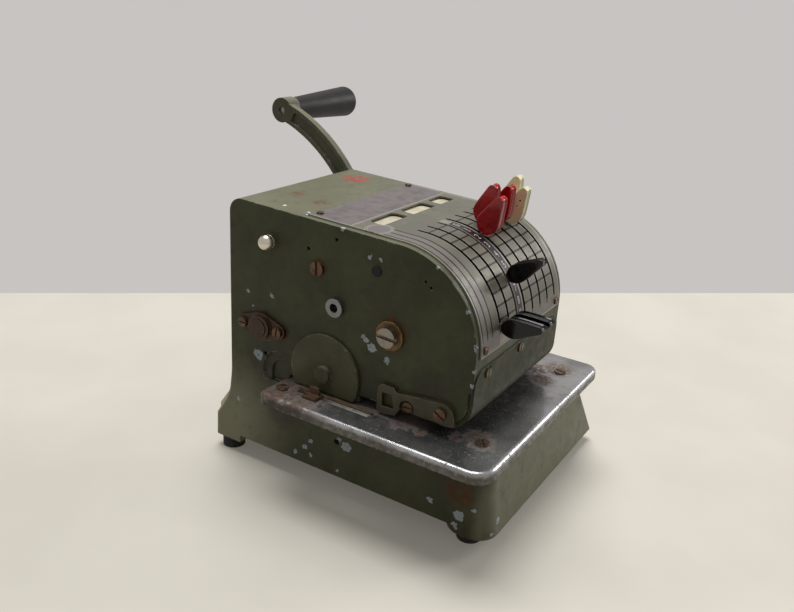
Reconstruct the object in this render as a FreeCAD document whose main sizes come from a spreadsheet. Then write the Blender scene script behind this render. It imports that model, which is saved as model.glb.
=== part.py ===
import FreeCAD, Part
import math
import os
import re
import Sketcher
from FreeCAD import Vector

# A desk check writer: a heavy cast C-frame whose head overhangs a metal table.  Eight digit levers
# stand through a slotted drum and turn type sectors on one shaft; a crank arm at the right side
# turns a cam that rocks a platen bar up through the table.
#
# Sketch and placement coordinates are counted from the machine's left face (x, to the right), its
# back face (y, negative towards the front) and a level just below the surface it stands on (z);
# ground_z is that surface.  Angles on the drum run from straight ahead (0) to straight up (90).

SIZES = {
    # where the machine stands in the part's frame
    "left_face_x": -83.0,
    "back_face_y": 57.0,
    "ground_z": 1.6,
    # head and column
    "head_width": 106.4,
    "wall": 6.0,
    "cover_sheet": 2.0,
    "drum_y": -108.4,
    "drum_z": 110.1,
    "cover_radius": 48.5,
    "back_corner_z": 154.4,
    "back_corner_radius": 8.0,
    "chin_z": 84.0,
    "chin_radius": 12.0,
    "head_bottom": 70.0,
    "column_depth": 42.0,
    "column_web": 4.0,
    "column_web_top": 100.0,
    "mouth_back": 91.0,
    "mouth_back_bottom": 66.0,
    "front_lap_z": 92.0,
    "chin_flange_end": 124.0,
    # scale plate and its slots
    "plate_sheet": 0.9,
    "plate_left": 4.0,
    "plate_width": 98.0,
    "plate_back_y": -51.0,
    "slot_first": 24.8,
    "slot_pitch": 10.0,
    "slot_count": 8.0,
    "slot_width": 2.0,
    "slot_angle_low": 8.8,
    "slot_angle_high": 92.6,
    "window_back_y": -79.5,
    "window_depth": 9.5,
    # base
    "deck_top": 62.5,
    "deck_sheet": 5.0,
    "base_bottom": 9.6,
    "base_wall": 6.0,
    "skirt_z": 14.2,
    "foot_radius": 6.8,
    "foot_top": 11.4,
    # table plate
    "table_top": 64.5,
    "table_left": -23.0,
    "table_width": 156.5,
    "table_front_y": -179.0,
    "table_depth": 139.5,
    "table_rim": 6.3,
    "table_sheet": 2.0,
    "table_round": 2.4,
    # digit levers
    "row_angle": 7.84,
    "row_count": 10.0,
    "row_zero_angle": 82.3,
    "shaft_radius": 5.0,
    "running_fit": 0.06,
    "lever_sheet": 1.4,
    "hub_radius": 16.0,
    "spoke_width": 3.4,
    "spoke_length": 60.0,
    "sector_radius": 38.5,
    "type_radius": 40.3,
    "type_width": 5.0,
    "notch_radius": 0.7,
    "knob_thickness": 6.2,
    "knob_base": 50.6,
    "knob_tip": 73.4,
    # crank and its shaft
    "crank_y": -23.8,
    "crank_z": 92.0,
    "crank_radius": 5.0,
    "arm_left": 112.0,
    "arm_thickness": 5.0,
    "arm_width": 12.4,
    "arm_groove": 1.6,
    "arm_rib": 2.7,
    "arm_hub_length": 9.0,
    "arm_boss_length": 10.6,
    "arm_curve_y": 87.0,
    "arm_curve_z": 91.0,
    "arm_curve_radius": 104.9,
    "arm_hub_radius": 12.0,
    "grip_pin_y": 56.5,
    "grip_pin_z": 191.2,
    "grip_pin_radius": 2.4,
    "boss_radius": 8.2,
    "grip_start": 123.4,
    "grip_length": 64.6,
    "grip_radius_near": 7.4,
    "grip_radius_far": 10.6,
    # lift cam, rocker and platen
    "cam_left": 47.0,
    "cam_width": 12.0,
    "cam_radius": 11.0,
    "cam_throw": 2.75,
    "cam_rest_angle": 142.5,
    "rocker_y": -60.0,
    "rocker_z": 42.0,
    "rocker_shaft_radius": 4.0,
    "follower_y": -27.8,
    "follower_z": 77.5,
    "follower_radius": 5.0,
    "platen_left": 18.0,
    "platen_length": 82.0,
    "platen_width": 6.0,
    "platen_bottom": 48.2,
    "platen_top": 64.2,
    # ink roller
    "ink_y": -68.5,
    "ink_z": 76.5,
    "ink_radius": 11.0,
    "ink_cover_radius": 22.5,
    "ink_spindle_radius": 3.0,
    # side fittings
    "tie_y": -28.7,
    "tie_z": 142.8,
    "bush_y": -73.8,
    "bush_z": 116.4,
    "plug_y": -98.0,
    "plug_z": 142.1,
    "side_screw_y": -61.4,
    "side_screw_z": 135.0,
    # paper gauge on the table
    "gauge_slot_x": -7.4,
    "gauge_slot_back": -56.0,
    "gauge_slot_length": 46.0,
    "gauge_slot_width": 2.4,
    "gauge_y": -67.0,
}

doc = FreeCAD.newDocument("check_writer")
sheet = doc.addObject("Spreadsheet::Sheet", "Sizes")
for row, (name, amount) in enumerate(SIZES.items(), start=1):
    sheet.set(f"A{row}", name)
    sheet.set(f"B{row}", str(amount))
    sheet.setAlias(f"B{row}", name)
doc.recompute()

NODES = []


def size(name):
    """The sheet's value of one driving dimension."""
    return float(sheet.get(name))


def formula(text):
    """A sum of size names as an expression that the document can follow."""
    return re.sub(r"[a-z][a-z_]+", lambda word: "Sizes." + word.group(), str(text))


def bind(piece, **sizes):
    """Ties properties of a piece to formulas of the sheet's sizes."""
    for name, text in sizes.items():
        piece.setExpression(name, formula(text))
    return piece


def place(piece, x="0", y="0", z="0", axis=None, turn=0):
    """Stands a piece at a point of the machine, given as x, y and z."""
    if axis:
        piece.Placement = FreeCAD.Placement(Vector(0, 0, 0), FreeCAD.Rotation(axis, turn))
    piece.setExpression("Placement.Base.x", formula(f"left_face_x + ({x})"))
    piece.setExpression("Placement.Base.y", formula(f"back_face_y + ({y})"))
    piece.setExpression("Placement.Base.z", formula(f"({z}) - ground_z"))
    return piece


X_AXIS = Vector(1, 0, 0)
Y_AXIS = Vector(0, 1, 0)
AXIS_TURNS = {
    "x": (Y_AXIS, 90),
    "-x": (Y_AXIS, -90),
    "y": (X_AXIS, -90),
    "-y": (X_AXIS, 90),
    "z": (None, 0),
    "-z": (X_AXIS, 180),
}


def cylinder(name, radius, length, x, y, z, along="x"):
    """A round bar from a point along an axis."""
    piece = bind(doc.addObject("Part::Cylinder", name), Radius=radius, Height=length)
    axis, turn = AXIS_TURNS[along]
    return place(piece, x, y, z, axis, turn)


def cone(name, radius, far_radius, length, x, y, z, along="x"):
    """A tapered bar from a point along an axis."""
    piece = bind(doc.addObject("Part::Cone", name), Radius1=radius, Radius2=far_radius, Height=length)
    axis, turn = AXIS_TURNS[along]
    return place(piece, x, y, z, axis, turn)


def box(name, width, depth, height, x, y, z):
    """A block whose left, front and lower corner is at a point."""
    piece = bind(doc.addObject("Part::Box", name), Length=width, Width=depth, Height=height)
    return place(piece, x, y, z)


def fuse(name, *pieces):
    piece = doc.addObject("Part::MultiFuse", name)
    piece.Shapes = list(pieces)
    return piece


def gather(name, pieces):
    """Several separate solids under one name."""
    piece = doc.addObject("Part::Compound", name)
    piece.Links = list(pieces)
    return piece


def cut(name, base, *tools):
    piece = doc.addObject("Part::Cut", name)
    piece.Base = base
    piece.Tool = tools[0] if len(tools) == 1 else gather(name + "_cutters", tools)
    return piece


def node(piece, label):
    """Marks a finished piece as one sub-part of the machine."""
    piece.Label = label
    NODES.append(piece)
    return piece


def body(name):
    return doc.addObject("PartDesign::Body", name)


def sketch_on(owner, role, name, height=None):
    """A sketch on one of a body's own origin planes, or parallel to it at a height."""
    plane = next(face for face in owner.Origin.OriginFeatures if face.Role == role)
    sketch = owner.newObject("Sketcher::SketchObject", name)
    sketch.AttachmentSupport = [(plane, "")]
    sketch.MapMode = "FlatFace"
    if height is not None:
        sketch.setExpression("AttachmentOffset.Base.z", formula(height))
    return sketch


def draw(sketch, start, *moves):
    """A closed outline.  A move is an end point, or an arc as (a point on it, its end point)."""
    here = start
    for move in list(moves) + [start]:
        if move == here:
            continue
        if isinstance(move[0], tuple):
            through, there = move
            curve = Part.Arc(Vector(*here), Vector(*through), Vector(*there))
        else:
            there = move
            curve = Part.LineSegment(Vector(*here), Vector(*there))
        sketch.addGeometry(curve, False)
        here = there
    return sketch


def draw_circle(sketch, y, z, radius):
    """A circle whose radius follows the sheet."""
    index = sketch.addGeometry(Part.Circle(Vector(y, z), Vector(0, 0, 1), 1.0), False)
    rule = sketch.addConstraint(Sketcher.Constraint("Radius", index, 1.0))
    sketch.setExpression(f"Constraints[{rule}]", formula(radius))
    return sketch


def pad(owner, sketch, length, midplane=False):
    feature = owner.newObject("PartDesign::Pad", sketch.Name + "_pad")
    feature.Profile = sketch
    if midplane:
        feature.SideType = "Symmetric"
    feature.setExpression("Length", formula(length))
    sketch.Visibility = False
    return feature


def pocket(owner, sketch, length, midplane=False, reverse=False):
    feature = owner.newObject("PartDesign::Pocket", sketch.Name + "_pocket")
    feature.Profile = sketch
    if midplane:
        feature.SideType = "Symmetric"
    feature.Reversed = reverse
    feature.setExpression("Length", formula(length))
    sketch.Visibility = False
    return feature


def prism(name, x, width, start, *moves):
    """A body drawn as a side outline (y, z) and padded to the right from x."""
    owner = body(name)
    sketch = draw(sketch_on(owner, "YZ_Plane", name + "_outline"), start, *moves)
    pad(owner, sketch, width)
    return place(owner, x)


def drum_point(angle, radius):
    """The (y, z) of a point on the drum at an angle from straight ahead."""
    turn = math.radians(angle)
    return (size("drum_y") - radius * math.cos(turn), size("drum_z") + radius * math.sin(turn))


def arc_point(centre, radius, angle):
    """The (y, z) of a point at an angle from the +y direction about a centre."""
    turn = math.radians(angle)
    return (centre[0] + radius * math.cos(turn), centre[1] + radius * math.sin(turn))


def rounded(sketch, x0, y0, x1, y1, *radii):
    """A rectangle with round corners: one radius, or front left, front right, back right, back left."""
    front_left, front_right, back_right, back_left = radii if len(radii) == 4 else radii * 4
    slack = 1 - math.sqrt(0.5)
    return draw(
        sketch,
        (x0 + front_left, y0),
        (x1 - front_right, y0),
        ((x1 - front_right * slack, y0 + front_right * slack), (x1, y0 + front_right)),
        (x1, y1 - back_right),
        ((x1 - back_right * slack, y1 - back_right * slack), (x1 - back_right, y1)),
        (x0 + back_left, y1),
        ((x0 + back_left * slack, y1 - back_left * slack), (x0, y1 - back_left)),
        (x0, y0 + front_left),
        ((x0 + front_left * slack, y0 + front_left * slack), (x0 + front_left, y0)),
    )


# ---------------------------------------------------------------- screws

SIDE_DIRECTIONS = {"x": (1, 0, 0), "-x": (-1, 0, 0), "y": (0, 1, 0), "-y": (0, -1, 0), "z": (0, 0, 1)}
SLOT_SHARE = 0.35
MACHINE_ORIGIN = Vector(size("left_face_x"), size("back_face_y"), -size("ground_z"))


def screw(name, point, faces, head_radius, head_height, shank_radius, shank_length, slot_turn=90):
    """A slotted screw whose head stands on a surface at a point, facing outwards."""
    outward = Vector(*SIDE_DIRECTIONS[faces])
    head = doc.addObject("Part::Cylinder", name + "_head")
    bind(head, Radius=head_radius, Height=head_height)
    shank = doc.addObject("Part::Cylinder", name + "_shank")
    bind(shank, Radius=shank_radius, Height=shank_length)
    shank.setExpression("Placement.Base.z", formula(f"-({shank_length})"))
    slot = doc.addObject("Part::Box", name + "_slot")
    slot_width = head_radius * SLOT_SHARE
    bind(slot, Length=4 * head_radius, Width=slot_width, Height=head_height)
    turned = FreeCAD.Rotation(Vector(0, 0, 1), slot_turn)
    corner = turned.multVec(Vector(-2 * head_radius, -slot_width / 2, head_height * 0.45))
    slot.Placement = FreeCAD.Placement(corner, turned)
    blank = fuse(name + "_blank", head, shank)
    piece = cut(name, blank, slot)
    piece.Placement = FreeCAD.Placement(
        MACHINE_ORIGIN + Vector(*point),
        FreeCAD.Rotation(Vector(0, 0, 1), outward),
    )
    return piece


def drill(name, point, faces, radius, length):
    """The hole that a screw or plug of the same radius sits in, from the surface inwards."""
    outward = Vector(*SIDE_DIRECTIONS[faces])
    piece = bind(doc.addObject("Part::Cylinder", name), Radius=radius, Height=length)
    surface = MACHINE_ORIGIN + Vector(*point)
    piece.Placement = FreeCAD.Placement(surface, FreeCAD.Rotation(Vector(0, 0, 1), -outward))
    return piece


# ---------------------------------------------------------------- main casting

LEFT = 0.0
RIGHT = size("head_width")
FRONT_Y = size("drum_y") - size("cover_radius")
FLANGE_EARS = 12.5
EAR_SCREW_RADIUS = 1.6
EAR_SCREW_LENGTH = 6.0
TABLE_SCREWS = [(5.0, -162.8), (109.0, -162.7), (-11.1, -47.3), (119.0, -47.3)]
TABLE_SCREW_RADIUS = 1.5
# Each foot's place (x, y), and the radius and the height of the boss that holds it.
FEET = [
    (12.8, -157.6, 12.7, 42.0),
    (8.0, 6.2, 7.8, 30.0),
    (141.0, -160.0, 12.0, 11.5),
    (139.6, -1.4, 12.0, 11.5),
]
BOSS_NARROWING = 7.0
BOSS_TAPER = 4.5

# The base leans out towards its lower edge, and its back sweeps out to a block at the foot:
# height, right face, front face, back face, radius of the back corners.
BASE_LEVELS = [
    ("deck_top", 124.0, -166.5, 0.0, 0.8),
    (52.0, 130.2, -167.9, 1.5, 1.6),
    (44.4, 134.7, -168.9, 2.9, 2.5),
    (38.9, 137.9, -169.6, 4.7, 2.5),
    (32.1, 142.0, -170.5, 8.6, 2.5),
    (24.3, 146.6, -171.6, 13.6, 2.5),
    ("base_bottom", 155.4, -173.6, 14.0, 2.5),
]
BASE_CORNER_LEFT = 12.5
BASE_CORNER_RIGHT = 3.0


def base_loft(owner, name, inset, levels):
    """The base's leaning outline, moved inwards by a wall, as lofted level sketches."""
    sketches = []
    for index, (height, right, front, back, back_corner) in enumerate(levels):
        sketch = sketch_on(owner, "XY_Plane", f"{name}_level_{index}", height)
        radii = (BASE_CORNER_LEFT, BASE_CORNER_RIGHT, back_corner, back_corner)
        if inset:
            radii = [radius / 2 for radius in radii]
        rounded(sketch, inset, front + inset, right - inset, back - inset, *radii)
        sketches.append(sketch)
    return sketches


def base_shell():
    """The hollow base with its deck, open below."""
    owner = body("base_shell")
    outer = base_loft(owner, "base_outer", 0.0, BASE_LEVELS)
    solid = owner.newObject("PartDesign::AdditiveLoft", "base_outer_loft")
    solid.Profile = outer[0]
    solid.Sections = outer[1:]
    solid.Ruled = True
    inner_levels = [("deck_top - deck_sheet",) + BASE_LEVELS[0][1:]] + BASE_LEVELS[1:]
    inner_levels[-1] = ("base_bottom - 1",) + BASE_LEVELS[-1][1:]
    inner = base_loft(owner, "base_inner", size("base_wall"), inner_levels)
    hollow = owner.newObject("PartDesign::SubtractiveLoft", "base_inner_loft")
    hollow.Profile = inner[0]
    hollow.Sections = inner[1:]
    hollow.Ruled = True
    return place(owner)


def top_height(y, lift=0.0):
    """The height of the head's sloping top at a depth."""
    crown = size("drum_z") + size("cover_radius")
    back = size("back_corner_z") + size("back_corner_radius")
    share = (y - size("drum_y")) / (-size("back_corner_radius") - size("drum_y"))
    return crown + (back - crown) * share + lift


def side_wall(name, x):
    """One side of the column and head: a plate with the mouth cut out below it."""
    corner = size("back_corner_radius")
    centre = (-corner, size("back_corner_z"))
    radius = size("cover_radius")
    sheet_t = size("cover_sheet")
    chin_centre = (FRONT_Y + sheet_t + size("chin_radius"), size("chin_z"))
    chin_bottom = size("chin_z") - size("chin_radius")
    foot = size("deck_top") - size("deck_sheet")
    return prism(
        name, x, "wall",
        (0.0, foot),
        (0.0, centre[1]),
        (arc_point(centre, corner, 45), (-corner, centre[1] + corner)),
        drum_point(90, radius),
        (drum_point(45, radius), drum_point(0, radius)),
        (FRONT_Y, size("front_lap_z")),
        (FRONT_Y + sheet_t, size("front_lap_z")),
        (FRONT_Y + sheet_t, size("chin_z")),
        (arc_point(chin_centre, size("chin_radius"), 225), (chin_centre[0], chin_bottom)),
        (-size("chin_flange_end"), chin_bottom),
        (-size("chin_flange_end"), size("head_bottom")),
        (-size("mouth_back"), size("head_bottom")),
        (-size("mouth_back"), size("mouth_back_bottom")),
        (-size("column_depth"), size("mouth_back_bottom")),
        (-size("column_depth"), foot),
    )


def head_hood():
    """The casting's skin over the back, the top and the drum, open under the scale plate."""
    sheet_t = size("cover_sheet")
    radius = size("cover_radius")
    corner = size("back_corner_radius")
    corner_z = size("back_corner_z")
    centre = (-corner, corner_z)
    shell = prism(
        "head_hood_shell", "wall - 1", "head_width - 2 * wall + 2",
        (0.0, size("deck_top") - 1),
        (0.0, corner_z),
        (arc_point(centre, corner, 45), (-corner, corner_z + corner)),
        drum_point(90, radius),
        (drum_point(45, radius), drum_point(0, radius)),
        (FRONT_Y, size("front_lap_z")),
        (FRONT_Y + sheet_t, size("front_lap_z")),
        drum_point(0, radius - sheet_t),
        (drum_point(45, radius - sheet_t), drum_point(90, radius - sheet_t)),
        (-corner, corner_z + corner - sheet_t),
        (arc_point(centre, corner - sheet_t, 45), (-sheet_t, corner_z)),
        (-sheet_t, size("deck_top") - 1),
    )
    openings = [
        box("lever_opening", "slot_pitch * (slot_count - 1) + 5.4", 65.4, 60, "slot_first - 2.7",
            "drum_y - 60", "drum_z + 3.3"),
        box("card_opening", "plate_width - 16", "window_depth + 3", 8, "plate_left + 9",
            "window_back_y - window_depth - 1.5", "drum_z + cover_radius - 5"),
        box("rear_opening", "head_width - 28", 8, 66, 14, -5, 78),
    ]
    return cut("head_hood", shell, *openings)


def corner_recess(name, grow, depth):
    """One step of the shallow recess beside the ink cover, at the column's foot."""
    centre = (-38.0, 66.0)
    radius = 6.0 + grow
    return prism(
        name, -1.0, depth,
        (centre[0] + radius, 60.0),
        (centre[0] + radius, centre[1]),
        (arc_point(centre, radius, 45), (centre[0], centre[1] + radius)),
        (-52.0, centre[1] + radius + 1.0),
        (-52.0, 60.0),
    )


def skirt_arch(name, x, length, y, depth):
    """A shallow arch in the skirt between two feet."""
    return box(name, length, depth, "skirt_z", x, y, 0)


def casting_holes():
    """Every bore and tapped hole of the main casting."""
    through = "head_width + 2"
    holes = [
        cylinder("axle_bore", "shaft_radius", through, -1, "drum_y", "drum_z"),
        cylinder("crank_bore", "crank_radius + 2", through, -1, "crank_y", "crank_z"),
        cylinder("ink_hole", 13, "wall + 1", -1, "ink_y", "ink_z"),
        cylinder("ink_spindle_bore", "ink_spindle_radius", through, -1, "ink_y", "ink_z"),
        cylinder("tie_bore", 3, through, -1, "tie_y", "tie_z"),
        cylinder("bush_bore", 3.6, through, -1, "bush_y", "bush_z"),
        cylinder("plug_bore", 2.3, "wall + 1", -1, "plug_y", "plug_z"),
        cylinder("oil_hole", 1.1, "wall + 1", -1, -54.8, 144.4),
        cylinder("pin_hole", 1.0, "wall + 1", -1, -72.7, 153.0),
        cylinder("column_hole", 1.2, "wall + 1", -1, -25.8, 75.5),
        cylinder("small_hole", 0.8, "wall + 1", -1, -126.1, 143.2),
        cylinder("small_hole_low", 0.8, "wall + 1", -1, -129.4, 140.8),
        cylinder("base_hole", 1.8, "base_wall + 2", -1, -77.5, 36.2),
        box("platen_gap", "platen_length + 1.2", "platen_width + 1.2", 12,
            "platen_left - 0.6", "drum_y - platen_width / 2 - 0.6", "deck_top - deck_sheet - 1"),
        box("column_floor_gap", "head_width - 2 * wall", "column_depth - column_web - 6", 12,
            "wall", "column_web - column_depth", "deck_top - deck_sheet - 1"),
    ]
    for index, (x, y) in enumerate(TABLE_SCREWS):
        point = (x, y, size("deck_top"))
        holes.append(drill(f"table_tap_{index}", point, "z", TABLE_SCREW_RADIUS, "deck_sheet"))
    for index, (x, z) in enumerate(REAR_SCREWS):
        point = (x, 0.0, z)
        holes.append(drill(f"rear_tap_{index}", point, "y", PLATE_SCREW_SHANK, "cover_sheet"))
    for index, (x, y) in enumerate(PLATE_SCREWS_TOP):
        point = (x, y, top_height(y, 0.5))
        holes.append(drill(f"plate_tap_top_{index}", point, "z", PLATE_SCREW_SHANK, 4.5))
    for index, (x, z) in enumerate(PLATE_SCREWS_FRONT):
        holes.append(drill(f"plate_tap_front_{index}", (x, FRONT_Y, z), "-y", PLATE_SCREW_SHANK, 4))
    for index, (x, z) in enumerate(FRONT_COVER_SCREWS):
        holes.append(drill(f"front_tap_{index}", (x, FRONT_Y, z), "-y", FRONT_COVER_SHANK, 4))
    for side, x, faces in (("left", LEFT, "-x"), ("right", RIGHT, "x")):
        for ear in (-1, 1):
            point = (x, size("crank_y") + ear * FLANGE_EARS, size("crank_z"))
            tag = f"ear_tap_{side}_{'front' if ear < 0 else 'back'}"
            holes.append(drill(tag, point, faces, EAR_SCREW_RADIUS, EAR_SCREW_LENGTH))
        point = (x, size("side_screw_y"), size("side_screw_z"))
        holes.append(drill(f"side_tap_{side}", point, faces, SIDE_SCREW_SHANK, EAR_SCREW_LENGTH))
    for index, (y, z) in enumerate(BRACKET_SCREWS):
        holes.append(drill(f"bracket_tap_{index}", (LEFT, y, z), "-x", BRACKET_SHANK, EAR_SCREW_LENGTH))
    for index, (x, y, _, _) in enumerate(FEET):
        holes.append(cylinder(f"foot_seat_{index}", "foot_radius", "foot_top", x, y, 0, "z"))
    return holes


SIDE_SCREW_SHANK = 2.2
# The strap's own screw, and the one on the wall in the strap's round notch.
BRACKET_SCREWS = [(-141.6, 77.0), (-121.9, 73.7)]
BRACKET_SHANK = 1.6


def main_casting():
    """Base, column and head sides in one casting."""
    bosses = []
    for index, (x, y, radius, top) in enumerate(FEET):
        bosses.append(cylinder(f"boss_{index}", radius, f"{top} - base_bottom", x, y, "base_bottom", "z"))
        bosses.append(cone(f"boss_{index}_neck", radius, radius - BOSS_TAPER, BOSS_NARROWING, x, y, top, "z"))
    lug_height = "deck_top - 1 - rocker_z + 8"
    lugs = [
        box(f"rocker_lug_{index}", 6, 16, lug_height, x, "rocker_y - 8", "rocker_z - 8")
        for index, x in enumerate((38.0, 62.0))
    ]
    table_lug = box("table_lug", 16, 8.3, 6, -14, -53.8, "deck_top - 6")
    web = box("column_web_plate", "head_width - 2 * wall + 2", "column_web",
              "column_web_top - deck_top + 1", "wall - 1", "-column_depth", "deck_top - 1")
    top_bar = box("head_tie_bar", "head_width - 2 * wall + 2", 8, 8, "wall - 1", -60, 140)
    outer = fuse(
        "casting_blank",
        base_shell(),
        side_wall("left_wall", LEFT),
        side_wall("right_wall", "head_width - wall"),
        web,
        top_bar,
        head_hood(),
        table_lug,
        *lugs,
    )
    envelope = cut(
        "casting_arched",
        outer,
        skirt_arch("left_arch", -1, "base_wall + 1", -157.6, 151.6),
        skirt_arch("right_arch", 140, 20, -141, 128),
        skirt_arch("back_arch", 26, 100, 4, 12),
        corner_recess("recess_step", 7.5, 2.2),
        corner_recess("recess_floor", 2.0, 3.4),
        cylinder("rocker_bore", "rocker_shaft_radius", 34, 36, "rocker_y", "rocker_z"),
    )
    with_bosses = fuse("casting_with_bosses", envelope, *bosses)
    return node(cut("main_casting_solid", with_bosses, *casting_holes()), "main_casting")


# ---------------------------------------------------------------- covers

WINDOWS = [(18.0, 24.0), (48.0, 24.0), (78.0, 16.0)]
WINDOW_CORNERS = (0.8, 0.8, 3.2, 3.2)
REAR_SCREWS = [(10.5, 81.0), (RIGHT - 10.5, 81.0), (10.5, 141.0), (RIGHT - 10.5, 141.0)]
PLATE_SCREWS_TOP = [(9.5, -54.8), (98.0, -54.8)]
PLATE_SCREWS_FRONT = [(8.2, 112.9), (97.5, 112.9)]
PLATE_SCREW_SHANK = 1.0
FRONT_COVER_SCREWS = [(14.0, 99.0), (52.9, 99.4)]
FRONT_COVER_SHANK = 1.4


def rear_panel():
    """Removable plate over the opening in the column's back."""
    thickness = 1.2
    name = "rear_panel_body"
    owner = body(name)
    sketch = sketch_on(owner, "XZ_Plane", name + "_outline")
    rounded(sketch, 7.0, 75.0, RIGHT - 7.0, 147.0, 5.0)
    pad(owner, sketch, thickness)
    place(owner, y=thickness)
    holes = [
        drill(f"panel_hole_{index}", (x, thickness, z), "y", PLATE_SCREW_SHANK, thickness)
        for index, (x, z) in enumerate(REAR_SCREWS)
    ]
    return node(cut("rear_panel_solid", owner, *holes), "rear_panel")


def scale_plate():
    """Thin metal plate over the top and drum, slotted for the levers, with three windows."""
    radius = size("cover_radius")
    outer = radius + size("plate_sheet")
    back = size("plate_back_y")
    hem = 0.7
    name = "scale_plate_body"
    owner = body(name)
    outline = draw(
        sketch_on(owner, "YZ_Plane", name + "_outline"),
        (back, top_height(back)),
        (back, top_height(back, size("plate_sheet"))),
        drum_point(90, outer),
        (drum_point(45, outer), drum_point(0, outer)),
        (FRONT_Y - size("plate_sheet"), size("drum_z") - hem),
        (FRONT_Y, size("drum_z") - hem),
        drum_point(0, radius),
        (drum_point(45, radius), drum_point(90, radius)),
    )
    pad(owner, outline, "plate_width")
    slot_low = size("slot_angle_low")
    slot_high = size("slot_angle_high")
    middle = (slot_low + slot_high) / 2
    slot = draw(
        sketch_on(owner, "YZ_Plane", name + "_slot", "slot_first - plate_left - slot_width / 2"),
        drum_point(slot_low, radius - 3),
        drum_point(slot_low, outer + 3),
        (drum_point(middle, outer + 3), drum_point(slot_high, outer + 3)),
        drum_point(slot_high, radius - 3),
        (drum_point(middle, radius - 3), drum_point(slot_low, radius - 3)),
    )
    first = pocket(owner, slot, "slot_width", reverse=True)
    pattern = owner.newObject("PartDesign::LinearPattern", name + "_slots")
    pattern.Originals = [first]
    pattern.Direction = (next(f for f in owner.Origin.OriginFeatures if f.Role == "X_Axis"), [""])
    pattern.setExpression("Length", formula("slot_pitch * (slot_count - 1)"))
    pattern.Occurrences = int(size("slot_count"))
    owner.Tip = pattern
    for index, (x, width) in enumerate(WINDOWS):
        window = sketch_on(owner, "XY_Plane", f"{name}_window_{index}", "drum_z + cover_radius - 6")
        front = size("window_back_y") - size("window_depth")
        left = x - size("plate_left")
        rounded(window, left, front, left + width, size("window_back_y"), *WINDOW_CORNERS)
        pocket(owner, window, 14, reverse=True)
    place(owner, "plate_left")
    holes = []
    for index, (x, y) in enumerate(PLATE_SCREWS_TOP):
        point = (x, y, top_height(y, 2.0))
        holes.append(drill(f"plate_hole_top_{index}", point, "z", PLATE_SCREW_SHANK, 4))
    for index, (x, z) in enumerate(PLATE_SCREWS_FRONT):
        point = (x, FRONT_Y - 2.0, z)
        holes.append(drill(f"plate_hole_front_{index}", point, "-y", PLATE_SCREW_SHANK, 4))
    return node(cut("scale_plate_solid", owner, *holes), "scale_plate")


def scale_plate_screws():
    """Small round heads at the plate's four corners."""
    thickness = size("plate_sheet")
    screws = []
    for index, (x, y) in enumerate(PLATE_SCREWS_TOP):
        point = (x, y, top_height(y, thickness + 0.12))
        screws.append(screw(f"plate_screw_top_{index}", point, "z", 2.0, 0.9, PLATE_SCREW_SHANK, 3, 20))
    for index, (x, z) in enumerate(PLATE_SCREWS_FRONT):
        point = (x, FRONT_Y - thickness, z)
        screws.append(screw(f"plate_screw_front_{index}", point, "-y", 2.0, 0.9, PLATE_SCREW_SHANK, 3, 70))
    return node(gather("scale_plate_screw_group", screws), "scale_plate_screws")


def window_card():
    """The pale card that shows through the three windows, on a tray under the cover."""
    sheet_t = size("cover_sheet")

    def slab(name, left, width, overhang, low, high):
        back = size("window_back_y") + overhang
        front = size("window_back_y") - size("window_depth") - overhang
        return prism(
            name, left, width,
            (back, top_height(back, low)),
            (back, top_height(back, high)),
            (front, top_height(front, high)),
            (front, top_height(front, low)),
        )

    tray = slab("window_tray", "plate_left + 7", "plate_width - 12", 3.2, -sheet_t - 0.8, -sheet_t - 0.02)
    card = slab("window_face", "plate_left + 9.2", "plate_width - 16.4", 1.3, -sheet_t - 0.4, -0.9)
    return node(fuse("window_card_solid", tray, card), "window_card")


def front_cover():
    """Removable lower cover: a raised panel on the front that turns in under the chin."""
    raised = 0.6
    sheet_t = size("cover_sheet")
    face = FRONT_Y - raised
    inner = FRONT_Y + sheet_t
    lap = size("front_lap_z")
    chin = size("chin_radius")
    centre = (inner + chin, size("chin_z"))
    outer_chin = chin + sheet_t + raised
    top = 103.0
    lower = size("chin_z") - outer_chin
    owner = prism(
        "front_cover_body", 0.6, "head_width - 1.2",
        (FRONT_Y, top),
        (face, top),
        (face, size("chin_z")),
        (arc_point(centre, outer_chin, 225), (centre[0], lower)),
        (-size("chin_flange_end") - 0.3, lower),
        (-size("chin_flange_end") - 0.3, size("chin_z") - chin),
        (centre[0], size("chin_z") - chin),
        (arc_point(centre, chin, 225), (inner, size("chin_z"))),
        (inner, lap),
        (FRONT_Y, lap),
    )
    doc.recompute()
    corners = [
        f"Edge{index}"
        for index, edge in enumerate(owner.Shape.Edges, start=1)
        if edge.Length < raised + 0.1 and abs(edge.Vertexes[0].Z - top + size("ground_z")) < 0.01
        and abs(edge.Vertexes[0].Z - edge.Vertexes[-1].Z) < 0.01
    ]
    sharp = owner.Tip
    round_off = owner.newObject("PartDesign::Fillet", "front_cover_corners")
    round_off.Base = (sharp, corners)
    round_off.Radius = 9.0
    holes = [
        drill(f"front_hole_{index}", (x, face, z), "-y", FRONT_COVER_SHANK, 3)
        for index, (x, z) in enumerate(FRONT_COVER_SCREWS)
    ]
    holes.append(drill("front_pin_hole", (16.6, face, 102.0 - 0.6), "-y", 0.8, 3))
    return node(cut("front_cover_solid", owner, *holes), "front_cover")


def front_cover_screws():
    face = FRONT_Y - 0.6
    screws = [
        screw(f"front_screw_{index}", (x, face, z), "-y", 2.7, 0.9, FRONT_COVER_SHANK, 3, 80)
        for index, (x, z) in enumerate(FRONT_COVER_SCREWS)
    ]
    return node(gather("front_cover_screw_group", screws), "front_cover_screws")


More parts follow.
